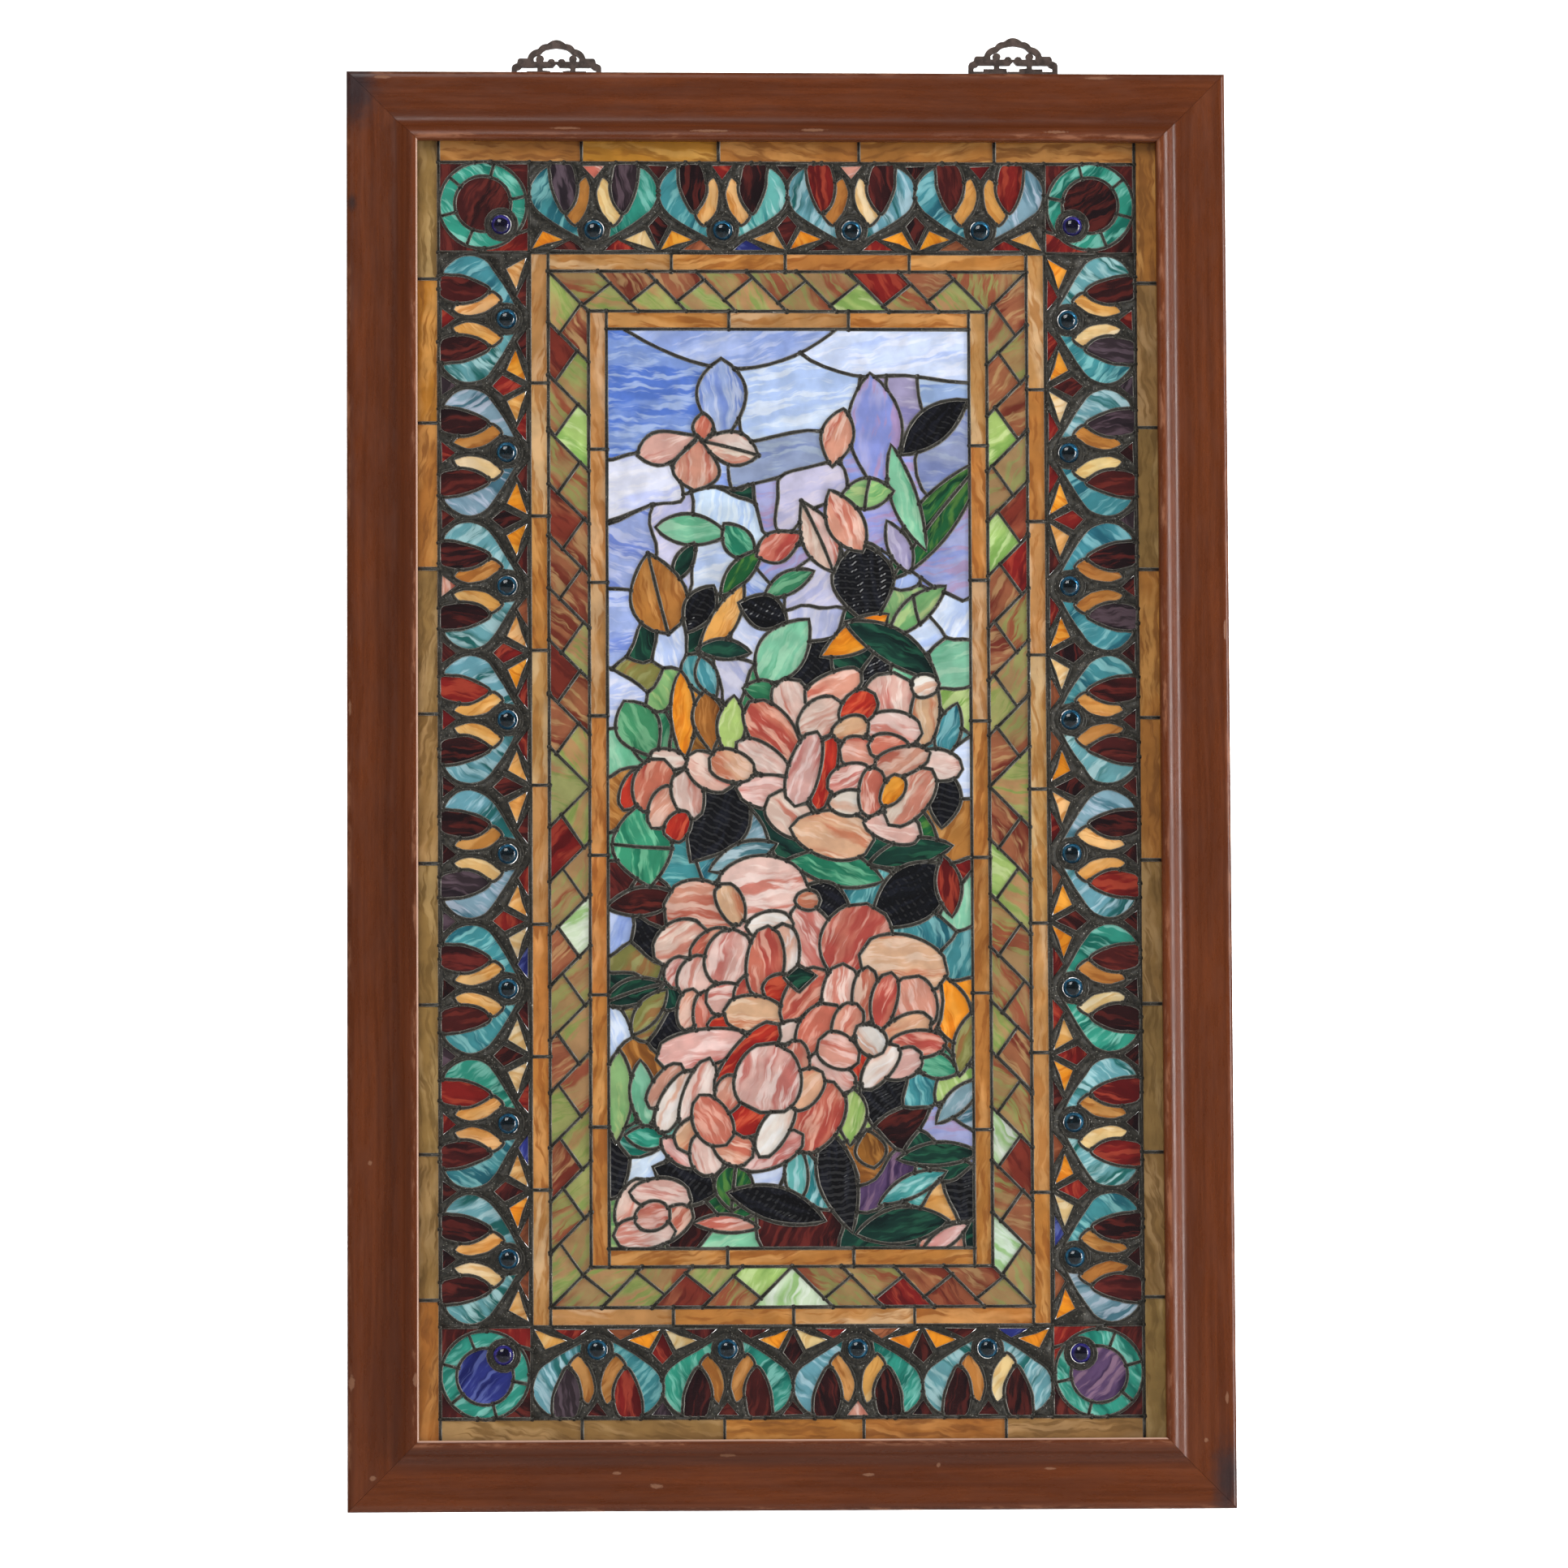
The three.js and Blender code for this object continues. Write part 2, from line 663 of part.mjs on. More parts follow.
function cornerJewels() {
  const jewels = [];
  for (const [side, signX] of [['left', -1], ['right', 1]]) {
    for (const [level, signZ] of [['top', 1], ['bottom', -1]]) {
      jewels.push({
        name: `jewel_corner_${level}_${side}`,
        at: [signX * (STRIPS_END.x - CORNER_JEWEL), signZ * (STRIPS_END.z - CORNER_JEWEL)],
        material: COLOURS.purple,
      });
    }
  }
  return jewels;
}

function allJewels() {
  const borderJewels = jewelPlaces().map(({ side, index, u }) => ({
    name: `jewel_${side}_${index + 1}`,
    at: onSide(side, STRIPS_END, u, JEWEL_INSET),
    material: COLOURS.teal,
  }));
  return [...borderJewels, ...cornerJewels()];
}

// A pressed nugget set on the solder: flat behind, domed in front, turned about its own axis.
function jewelGeometry() {
  const seat = NET_FRONT + FIT_GAP;
  const profile = [
    [0, seat],
    [JEWEL_RADIUS, seat],
    [JEWEL_RADIUS * 0.66, seat + JEWEL_DOME * 0.7],
    [0, seat + JEWEL_DOME],
  ];
  const geometry = new THREE.LatheGeometry(profile.map(([r, y]) => new THREE.Vector2(r, y)), JEWEL_SIDES);
  geometry.rotateX(Math.PI);
  return geometry;
}

function addJewels(window) {
  for (const { name, at, material } of allJewels()) {
    const jewel = new THREE.Mesh(jewelGeometry(), material);
    jewel.name = name;
    jewel.position.set(at[0], 0, at[1]);
    window.add(jewel);
  }
}

// ---------------------------------------------------------------- the whole window

const model = new THREE.Group();
const window = new THREE.Group();
window.position.z = RAIL_WIDTH / 2 - FRAME_HEIGHT / 2;
model.add(window);

addFrame(window);
addHangers(window);
const lattice = new THREE.Mesh(latticeGeometry(), COLOURS.solder);
lattice.name = 'solder_lattice';
window.add(lattice);
addGlass(window);
addJewels(window);

export default model;
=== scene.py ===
"""A framed stained glass window hung by two cast hangers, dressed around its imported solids.

Plans are in millimetres about the middle of the window, x to the right and z up as seen from the
front. A depth is a distance in front of the wall plane."""

import math
import random
from contextlib import contextmanager

import bmesh
import bpy
import numpy as np
from mathutils import Matrix, Vector
from mathutils.geometry import delaunay_2d_cdt

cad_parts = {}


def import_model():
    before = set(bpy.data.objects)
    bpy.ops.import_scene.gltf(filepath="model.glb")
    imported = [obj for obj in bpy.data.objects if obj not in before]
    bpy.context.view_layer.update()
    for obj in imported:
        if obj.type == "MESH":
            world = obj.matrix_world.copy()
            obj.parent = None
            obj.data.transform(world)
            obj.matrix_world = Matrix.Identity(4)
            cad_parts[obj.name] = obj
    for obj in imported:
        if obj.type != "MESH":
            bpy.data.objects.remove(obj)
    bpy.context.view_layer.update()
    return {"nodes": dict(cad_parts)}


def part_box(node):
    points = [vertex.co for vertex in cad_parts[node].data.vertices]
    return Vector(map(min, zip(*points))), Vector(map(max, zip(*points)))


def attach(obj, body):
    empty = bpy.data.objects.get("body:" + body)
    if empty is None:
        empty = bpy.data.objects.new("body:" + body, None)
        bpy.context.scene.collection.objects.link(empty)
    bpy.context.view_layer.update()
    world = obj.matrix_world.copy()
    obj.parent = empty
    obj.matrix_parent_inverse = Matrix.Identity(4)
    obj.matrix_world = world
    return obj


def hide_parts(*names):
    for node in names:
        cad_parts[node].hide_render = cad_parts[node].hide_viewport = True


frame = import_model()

# ---------------------------------------------------------------- places taken from the solids

MM = 1000.0
TOP = [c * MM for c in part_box("frame_top_rail")[1]]
LOW = [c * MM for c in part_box("frame_bottom_rail")[0]]
GLASS_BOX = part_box("picture_glass")
NET_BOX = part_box("solder_lattice")

HALF_W = TOP[0]
HALF_H = (TOP[2] - LOW[2]) / 2
MID_Z = (TOP[2] + LOW[2]) / 2
GLASS_BACK = -GLASS_BOX[1].y * MM
GLASS_FRONT = -GLASS_BOX[0].y * MM
NET_BACK = -NET_BOX[1].y * MM
NET_FRONT = -NET_BOX[0].y * MM
PANEL = (NET_BOX[1].x * MM, (NET_BOX[1].z - NET_BOX[0].z) * MM / 2)

RAIL = 54.0
SIGHT = (HALF_W - RAIL, HALF_H - RAIL)


def inner(rect, width):
    return (rect[0] - width, rect[1] - width)


# Widths of the bands, from the frame inward, and the rectangles that they end at.
STRIP, JEWELS, INNER, CHEVRON, AMBER = 16.25, 69.5, 14.25, 30.75, 13.75
STRIPS_END = inner(SIGHT, STRIP)
JEWELS_END = inner(STRIPS_END, JEWELS)
INNER_END = inner(JEWELS_END, INNER)
CHEVRONS_END = inner(INNER_END, CHEVRON)
PICTURE = inner(CHEVRONS_END, AMBER)

SEAM, BORDER_SEAM = 3.2, 2.8
JEWEL_HOLE = 9.1
JEWEL_INSET = 52.0
CORNER_JEWEL = 48.0
SIDES = ("top", "right", "bottom", "left")
UPRIGHT = ("left", "right")
DRAWN = ("top", "bottom", "right", "left")


def world(x, z, depth):
    return Vector((x / MM, -depth / MM, (MID_Z + z) / MM))


def on_side(side, outer, u, v):
    """A place on one side of a band: u runs clockwise from the side's middle, v inward."""
    if side == "top":
        return (u, outer[1] - v)
    if side == "right":
        return (outer[0] - v, -u)
    if side == "bottom":
        return (-u, v - outer[1])
    return (v - outer[0], u)


def side_turn(side):
    """The direction in which u runs, in degrees."""
    return {"top": 0, "right": -90, "bottom": 180, "left": 90}[side]


def half_length(side, rect):
    return rect[0] if side in ("top", "bottom") else rect[1]


# ---------------------------------------------------------------- colours of the glass

# Body colour, streak colour and accent colour of each kind, with its ripple.
GLASS = {
    "sky": ((158, 178, 224), (120, 145, 214), (196, 208, 236), 0),
    "blue": ((132, 156, 218), (92, 124, 208), (176, 192, 232), 0),
    "pale": ((206, 219, 243), (182, 201, 241), (226, 232, 247), 0),
    "white": ((224, 227, 239), (198, 206, 238), (236, 236, 240), 0),
    "bowl": ((166, 182, 227), (142, 162, 217), (190, 200, 232), 0),
    "lavender": ((164, 168, 214), (134, 148, 212), (172, 146, 186), 0),
    "grey": ((150, 162, 198), (128, 142, 190), (170, 182, 206), 0),
    "mauve": ((164, 152, 186), (140, 132, 180), (196, 184, 208), 0),
    "lilac": ((200, 198, 224), (178, 180, 218), (216, 210, 226), 0),
    "mint": ((134, 200, 164), (104, 178, 140), (166, 214, 180), 0),
    "light": ((140, 182, 120), (106, 160, 100), (172, 196, 130), 0),
    "lime": ((166, 194, 112), (132, 170, 88), (196, 214, 150), 0),
    "green": ((62, 134, 94), (38, 106, 74), (112, 170, 130), 0),
    "emerald": ((58, 146, 112), (34, 116, 88), (116, 190, 152), 0),
    "deep": ((20, 54, 46), (12, 34, 32), (34, 88, 66), 0),
    "leaf": ((30, 92, 52), (14, 58, 38), (84, 132, 60), 0),
    "teal": ((66, 138, 146), (36, 96, 110), (128, 188, 190), 0),
    "sea": ((100, 176, 170), (48, 130, 132), (168, 214, 212), 0),
    "tide": ((104, 160, 170), (34, 98, 96), (170, 206, 212), 0),
    "steel": ((126, 160, 174), (70, 112, 126), (178, 194, 208), 0),
    "viridian": ((50, 146, 126), (22, 104, 90), (126, 196, 180), 0),
    "olive": ((128, 126, 68), (146, 104, 62), (150, 152, 96), 0),
    "khaki": ((142, 118, 70), (166, 128, 84), (120, 120, 64), 0),
    "rust": ((138, 76, 48), (164, 100, 66), (108, 60, 40), 0),
    "brick": ((122, 48, 36), (150, 84, 58), (92, 32, 26), 0),
    "autumn": ((158, 126, 84), (142, 78, 54), (140, 144, 84), 0),
    "meadow": ((154, 158, 96), (172, 132, 90), (126, 148, 76), 0),
    "russet": ((148, 90, 62), (112, 48, 36), (176, 138, 94), 0),
    "pearl": ((196, 212, 184), (150, 188, 122), (214, 224, 208), 0),
    "peach": ((216, 170, 136), (200, 124, 92), (232, 198, 172), 0),
    "tan": ((146, 114, 66), (172, 140, 92), (122, 92, 50), 0),
    "ochre": ((180, 122, 44), (204, 150, 76), (150, 96, 32), 0),
    "caramel": ((164, 108, 50), (188, 134, 72), (134, 84, 38), 0),
    "sand": ((188, 138, 82), (208, 168, 122), (168, 112, 56), 0),
    "amber": ((180, 118, 56), (204, 146, 84), (152, 90, 38), 0),
    "honey": ((220, 158, 84), (234, 184, 122), (200, 130, 58), 0),
    "butter": ((228, 196, 138), (236, 212, 168), (214, 170, 104), 0),
    "orange": ((236, 146, 34), (244, 166, 62), (214, 118, 22), 0),
    "umber": ((152, 96, 42), (118, 70, 32), (182, 124, 62), 0),
    "maroon": ((68, 24, 24), (42, 16, 18), (104, 38, 32), 0),
    "wine": ((44, 18, 20), (26, 12, 16), (86, 30, 26), 0),
    "smoke": ((52, 40, 46), (34, 26, 32), (92, 74, 84), 0),
    "ruby": ((128, 30, 28), (92, 20, 22), (164, 62, 44), 0),
    "indigo": ((46, 54, 128), (28, 34, 96), (92, 104, 168), 0),
    "red": ((190, 54, 38), (160, 34, 30), (214, 92, 62), 0),
    "coral": ((196, 110, 90), (174, 74, 64), (226, 166, 146), 0),
    "salmon": ((210, 148, 126), (190, 104, 86), (232, 194, 178), 0),
    "pink": ((216, 170, 158), (194, 114, 104), (236, 210, 200), 0),
    "blush": ((222, 190, 178), (202, 128, 112), (236, 216, 206), 0),
    "cream": ((226, 214, 204), (214, 168, 146), (232, 226, 222), 0),
    "plum": ((92, 68, 104), (58, 40, 72), (140, 108, 132), 0),
    "black": ((13, 14, 19), (8, 8, 12), (22, 24, 34), 1),
}


def linear(colour):
    """sRGB numbers from 0 to 255 as linear ones from 0 to 1."""
    found = []
    for c in colour:
        c = c / 255
        found.append(c / 12.92 if c <= 0.04045 else ((c + 0.055) / 1.055) ** 2.4)
    return found


# ---------------------------------------------------------------- plans of glass and seams


def smooth_curve(points, steps=4, closed=True):
    """A rounded line through the points."""
    n = len(points)
    found = []
    for i in range(n if closed else n - 1):
        if closed:
            p = [points[(i + k) % n] for k in (-1, 0, 1, 2)]
        else:
            p = [points[min(max(i + k, 0), n - 1)] for k in (-1, 0, 1, 2)]
        for s in range(steps):
            t = s / steps
            weights = (
                (-t + 2 * t * t - t**3) / 2,
                (2 - 5 * t * t + 3 * t**3) / 2,
                (t + 4 * t * t - 3 * t**3) / 2,
                (t**3 - t * t) / 2,
            )
            found.append(tuple(sum(w * q[a] for w, q in zip(weights, p)) for a in (0, 1)))
    if not closed:
        found.append(tuple(points[-1]))
    return found


def inside(places, outline):
    """Which of the places lie in a closed outline."""
    x, z = places[:, 0], places[:, 1]
    found = np.zeros(len(places), bool)
    for (ax, az), (bx, bz) in zip(outline, outline[1:] + outline[:1]):
        if az == bz:
            continue
        crosses = (az > z) != (bz > z)
        found ^= crosses & (x < (bx - ax) * (z - az) / (bz - az) + ax)
    return found


class Plan:
    """Shapes laid one over another. Each hides what is drawn before it, seams included."""

    def __init__(self, edged=True):
        self.points, self.edges, self.levels, self.areas, self.seeds = [], [], [], [], []
        self.level = 0
        self.edged = edged

    def line(self, points, closed):
        first, n = len(self.points), len(points)
        self.points += [Vector(p) for p in points]
        for i in range(n if closed else n - 1):
            self.edges.append((first + i, first + (i + 1) % n))
            self.levels.append(self.level)

    def area(self, outline, glass, flow=None):
        self.level += 1
        outline = [tuple(p) for p in outline]
        self.areas.append((self.level, outline, glass, flow))
        self.line(outline, True)

    def seam(self, points):
        self.line(points, False)

    def seed(self, x, z, glass, flow=None):
        self.seeds.append((x, z, glass, flow))

    def solve(self):
        found = delaunay_2d_cdt(self.points, self.edges, [], 0, 0.03, True)
        self.places = np.array([tuple(v) for v in found[0]])
        triangles = [tuple(t) for t in found[2]]
        middles = self.places[np.array(triangles)].mean(axis=1)
        top = np.zeros(len(triangles), int)
        for level, outline, glass, _ in self.areas:
            top[inside(middles, outline)] = 0 if glass == "none" else level
        owners = {}
        for index, triangle in enumerate(triangles):
            for k in range(3):
                a, b = triangle[k], triangle[(k + 1) % 3]
                owners.setdefault((min(a, b), max(a, b)), []).append(index)
        drawn = {}
        for (a, b), sources in zip(found[1], found[4]):
            if sources:
                drawn[(min(a, b), max(a, b))] = max(self.levels[s] for s in sources)
        self.seams = []
        joined = {i: [] for i in range(len(triangles))}
        for edge, sides in owners.items():
            tops = [top[s] for s in sides] + [0] * (2 - len(sides))
            if max(tops) == 0 or (min(tops) == 0 and not self.edged):
                continue
            if drawn.get(edge, -1) >= min(tops):
                self.seams.append(edge)
            elif len(sides) == 2:
                joined[sides[0]].append(sides[1])
                joined[sides[1]].append(sides[0])
        self.collect(triangles, middles, top, joined)

    def collect(self, triangles, middles, top, joined):
        """Gathers the triangles between the seams into cells."""
        kinds = {level: (glass, flow) for level, _, glass, flow in self.areas}
        seen, self.cells = set(), []
        for start in range(len(triangles)):
            if start in seen or top[start] == 0:
                continue
            stack, members = [start], []
            seen.add(start)
            while stack:
                index = stack.pop()
                members.append(index)
                for other in joined[index]:
                    if other not in seen and top[other] > 0:
                        seen.add(other)
                        stack.append(other)
            corners = self.places[np.array([triangles[m] for m in members])]
            a, b = corners[:, 1] - corners[:, 0], corners[:, 2] - corners[:, 0]
            sizes = np.abs(a[:, 0] * b[:, 1] - a[:, 1] * b[:, 0]) / 2
            size = float(sizes.sum())
            middle = (middles[members] * sizes[:, None]).sum(axis=0) / max(size, 1e-9)
            glass, flow = kinds[top[members[0]]]
            if glass == "seeded":
                near = min(self.seeds, key=lambda s: math.dist(s[:2], middle))
                glass, flow = near[2], near[3]
            self.cells.append({
                "triangles": [triangles[m] for m in members],
                "middle": middle, "size": size, "glass": glass, "flow": flow,
            })


def chains(seams):
    """Joins seam edges end to end where just two of them meet."""
    beside = {}
    for a, b in seams:
        beside.setdefault(a, []).append(b)
        beside.setdefault(b, []).append(a)
    used, found = set(), []

    def walk(start, step):
        run = [start, step]
        used.add((min(start, step), max(start, step)))
        while len(beside[run[-1]]) == 2:
            a, b = beside[run[-1]]
            onward = b if a == run[-2] else a
            key = (min(run[-1], onward), max(run[-1], onward))
            if key in used:
                break
            used.add(key)
            run.append(onward)
        return run

    for vertex in sorted(beside):
        if len(beside[vertex]) != 2:
            for other in sorted(beside[vertex]):
                if (min(vertex, other), max(vertex, other)) not in used:
                    found.append(walk(vertex, other))
    for a, b in seams:
        if (min(a, b), max(a, b)) not in used:
            found.append(walk(a, b))
    nodes = [v for v in beside if len(beside[v]) > 2]
    return found, nodes


# ---------------------------------------------------------------- meshes

CREASE = math.radians(35)


def make_object(name, vertices, faces, material, smooth=True):
    mesh = bpy.data.meshes.new(name)
    mesh.from_pydata(vertices, [], faces)
    mesh.polygons.foreach_set("use_smooth", [smooth] * len(mesh.polygons))
    mesh.update()
    made = bpy.data.objects.new(name, mesh)
    bpy.context.scene.collection.objects.link(made)
    mesh.materials.append(material)
    return made


@contextmanager
def editing(made):
    """A mesh opened for bmesh and written back afterwards."""
    work = bmesh.new()
    work.from_mesh(made.data)
    yield work
    work.to_mesh(made.data)
    work.free()


def fix_normals(made):
    with editing(made) as work:
        bmesh.ops.recalc_face_normals(work, faces=work.faces)


def set_attribute(made, name, kind, domain, values):
    layer = made.data.attributes.new(name, kind, domain)
    field = {"FLOAT_COLOR": "color", "FLOAT_VECTOR": "vector", "FLOAT": "value"}[kind]
    layer.data.foreach_set(field, np.array(values, np.float32).ravel())


def sharpen(made):
    """Keeps creases sharp on a smoothly shaded mesh."""
    with editing(made) as work:
        for edge in work.edges:
            if len(edge.link_faces) == 2 and edge.calc_face_angle() > CREASE:
                edge.smooth = False


class Beads:
    """Rounded ridges of solder with a flat lump where they meet.

    A section's points are shares of its half width and of its height, in front and behind."""

    FRONT = ((-1, 0.02), (-0.8, 0.55), (-0.42, 0.92), (0, 1.0), (0.42, 0.92), (0.8, 0.55),
             (1, 0.02))
    BACK = ((0.6, 0.96), (-0.6, 0.96))
    STEP = 1.5
    SINK = 0.1
    WIDTHS, RISES = (0.88, 1.12), (0.82, 1.0)
    LUMPS = (1.9, 2.5)

    def __init__(self, rng, seam):
        self.vertices, self.faces, self.rim = [], [], []
        self.rng, self.seam = rng, seam

    def section(self, x, z, across, width, rise):
        ring = []
        for s, h in self.FRONT:
            depth = GLASS_FRONT - self.SINK + h * (NET_FRONT - GLASS_FRONT + self.SINK) * rise
            ring.append(world(x + across[0] * s * width, z + across[1] * s * width, depth))
            self.rim.append(abs(s))
        for s, h in self.BACK:
            depth = GLASS_BACK + self.SINK - h * (GLASS_BACK - NET_BACK + self.SINK)
            ring.append(world(x + across[0] * s * width, z + across[1] * s * width, depth))
            self.rim.append(0.5)
        first = len(self.vertices)
        self.vertices += ring
        return list(range(first, first + len(ring)))

    def ridge(self, run, closed=False):
        run = [np.array(p) for p in run]
        kept = [run[0]]
        for p in run[1:]:
            if np.linalg.norm(p - kept[-1]) > self.STEP:
                kept.append(p)
        if len(kept) < 2:
            return
        if closed and np.linalg.norm(kept[0] - kept[-1]) < self.STEP:
            kept.pop()
        n = len(kept)
        rings = []
        for i, p in enumerate(kept):
            before = kept[i - 1] if (i or closed) else p
            after = kept[(i + 1) % n] if (i < n - 1 or closed) else p
            along = after - before
            along = along / max(np.linalg.norm(along), 1e-9)
            width = self.seam / 2 * self.rng.uniform(*self.WIDTHS)
            rise = self.rng.uniform(*self.RISES)
            rings.append(self.section(p[0], p[1], (-along[1], along[0]), width, rise))
        count = len(rings[0])
        for a, b in zip(rings, rings[1:] + (rings[:1] if closed else [])):
            for k in range(count):
                m = (k + 1) % count
                self.faces.append((a[k], a[m], b[m], b[k]))
        if not closed:
            self.faces.append(tuple(reversed(rings[0])))
            self.faces.append(tuple(rings[-1]))

    def lump(self, x, z, radius, sides=7):
        levels = ((1.0, GLASS_BACK + self.SINK), (1.0, GLASS_FRONT - self.SINK),
                  (0.75, GLASS_FRONT + 0.75), (0.4, NET_FRONT - 0.15))
        turn = self.rng.uniform(0, 6.28)
        rings = []
        for share, depth in levels:
            first = len(self.vertices)
            for k in range(sides):
                angle = -turn - 2 * math.pi * k / sides
                r = radius * share
                self.vertices.append(world(x + r * math.cos(angle), z + r * math.sin(angle), depth))
                self.rim.append(share * 0.7)
            rings.append(list(range(first, first + sides)))
        for a, b in zip(rings, rings[1:]):
            for k in range(sides):
                m = (k + 1) % sides
                self.faces.append((a[k], b[k], b[m], a[m]))
        for ring, depth, order in ((rings[0], NET_BACK, 1), (rings[-1], NET_FRONT, -1)):
            tip = len(self.vertices)
            self.vertices.append(world(x, z, depth))
            self.rim.append(0)
            for k in range(sides):
                m = (k + 1) % sides
                self.faces.append((ring[k], ring[m], tip)[::order])

    def build(self, name, material):
        made = make_object(name, self.vertices, self.faces, material)
        set_attribute(made, "rim", "FLOAT", "POINT", self.rim)
        return made


# How far a pane's edge lies in from its seam, the least area of a pane, and how much it leans.
PANE_INSET, PANE_LEAST = 0.55, 14
PANE_LEAN, PANE_TILT = 0.006, 0.15


def piece_colours(glass, rng):
    """The three colours of one pane, a little off its kind's, and its ripple."""
    body, streak, accent, ripple = GLASS[glass]
    lift = rng.uniform(0.9, 1.1)
    shift = [rng.uniform(0.96, 1.04) for _ in range(3)]
    tuned = [[min(1, c * lift * s) for c, s in zip(linear(k), shift)]
             for k in (body, streak, accent)]
    return tuned, ripple


def build_glass(name, plan, material, rng):
    """One closed piece of glass for each cell. Cells too small for glass are filled with solder."""
    vertices, faces, filler = [], [], []
    body, streak, accent, flow = [], [], [], []
    for cell in plan.cells:
        if cell["glass"] == "solder" or cell["size"] < PANE_LEAST:
            filler.append(cell)
            continue
        colours, ripple = piece_colours(cell["glass"], rng)
        turn = cell["flow"]
        if turn is None:
            turn = rng.uniform(0, 6.28)
        else:
            turn = math.radians(turn + rng.uniform(-14, 14))
        lean = (rng.uniform(-PANE_LEAN, PANE_LEAN), rng.uniform(-PANE_LEAN, PANE_LEAN))
        before = len(faces)
        add_prism(plan, cell, PANE_INSET, vertices, faces, GLASS_BACK, GLASS_FRONT, lean)
        seed = rng.uniform(0, 100)
        for _ in range(len(faces) - before):
            body.append((*colours[0], 1))
            streak.append((*colours[1], 1))
            accent.append((*colours[2], 1))
            flow.append((turn, seed, ripple))
    made = make_object(name, vertices, faces, material, smooth=False)
    for key, values in (("body", body), ("streak", streak), ("accent", accent)):
        set_attribute(made, key, "FLOAT_COLOR", "FACE", values)
    set_attribute(made, "flow", "FLOAT_VECTOR", "FACE", flow)
    return made, filler


def add_prism(plan, cell, inset, vertices, faces, back, front, lean=(0, 0)):
    """Adds a cell's closed solid, its outline moved in by the inset."""
    directed = set()
    for a, b, c in cell["triangles"]:
        for edge in ((a, b), (b, c), (c, a)):
            directed.add(edge)
    border = [(a, b) for a, b in directed if (b, a) not in directed]
    push = {}
    for a, b in border:
        d = plan.places[b] - plan.places[a]
        normal = np.array((-d[1], d[0])) / max(np.linalg.norm(d), 1e-9)
        push.setdefault(a, []).append(normal)
        push.setdefault(b, []).append(normal)
    used = sorted({v for t in cell["triangles"] for v in t})
    middle = cell["middle"]
    index = {}
    for v in used:
        x, z = plan.places[v]
        if v in push:
            total = sum(push[v])
            size = np.linalg.norm(total)
            if size > 1e-6:
                share = size / len(push[v])
                step = total / size * inset / max(share, 0.5)
                x, z = x + step[0], z + step[1]
        tilt = lean[0] * (x - middle[0]) + lean[1] * (z - middle[1])
        index[v] = len(vertices)
        vertices.append(world(x, z, front + max(-PANE_TILT, min(PANE_TILT, tilt))))
        vertices.append(world(x, z, back))
    for a, b, c in cell["triangles"]:
        faces.append((index[a], index[b], index[c]))
        faces.append((index[c] + 1, index[b] + 1, index[a] + 1))
    for a, b in border:
        faces.append((index[b], index[a], index[a] + 1, index[b] + 1))


def build_solder(plan, filler, seam, rng):
    """Ridges along a plan's seams, lumps where they meet, and solder in the cells without glass."""
    beads = Beads(rng, seam)
    runs, nodes = chains(plan.seams)
    for run in runs:
        closed = run[0] == run[-1]
        beads.ridge([plan.places[v] for v in (run[:-1] if closed else run)], closed)
    for node in nodes:
        beads.lump(*plan.places[node], rng.uniform(*beads.LUMPS))
    for cell in filler:
        before = len(beads.vertices)
        front = NET_FRONT - rng.uniform(0.3, 0.6)
        add_prism(plan, cell, 0, beads.vertices, beads.faces, NET_BACK + 0.4, front)
        beads.rim += [0.2] * (len(beads.vertices) - before)
    return beads


# ---------------------------------------------------------------- the borders


def rectangle(u0, u1, v0, v1):
    return [(u0, v0), (u1, v0), (u1, v1), (u0, v1)]


CRESCENT = [(7, 60.5), (22.5, 52.6), (37, 43.4), (46, 35.5), (49.8, 24), (47, 13), (38.5, 4),
            (30, 3), (29, 16), (26, 27), (20, 34), (15, 42), (10.5, 51)]
ALMOND = [(17.5, 0), (33.2, 0), (34, 10), (32.8, 19), (28.4, 31), (22.6, 39), (16, 32.5),
          (12.2, 22), (12.8, 11)]
PETAL = [(7, 10.5), (2.9, 17), (1.8, 25), (4.4, 36), (9, 43), (14.5, 48.5), (21, 41.5), (19.5, 36),
         (16, 27), (14.5, 18)]
WOBBLE = 0.5
JEWEL_SEAT = 11.5


def in_band(points):
    return [(p, min(max(q, 0), JEWELS)) for p, q in points]


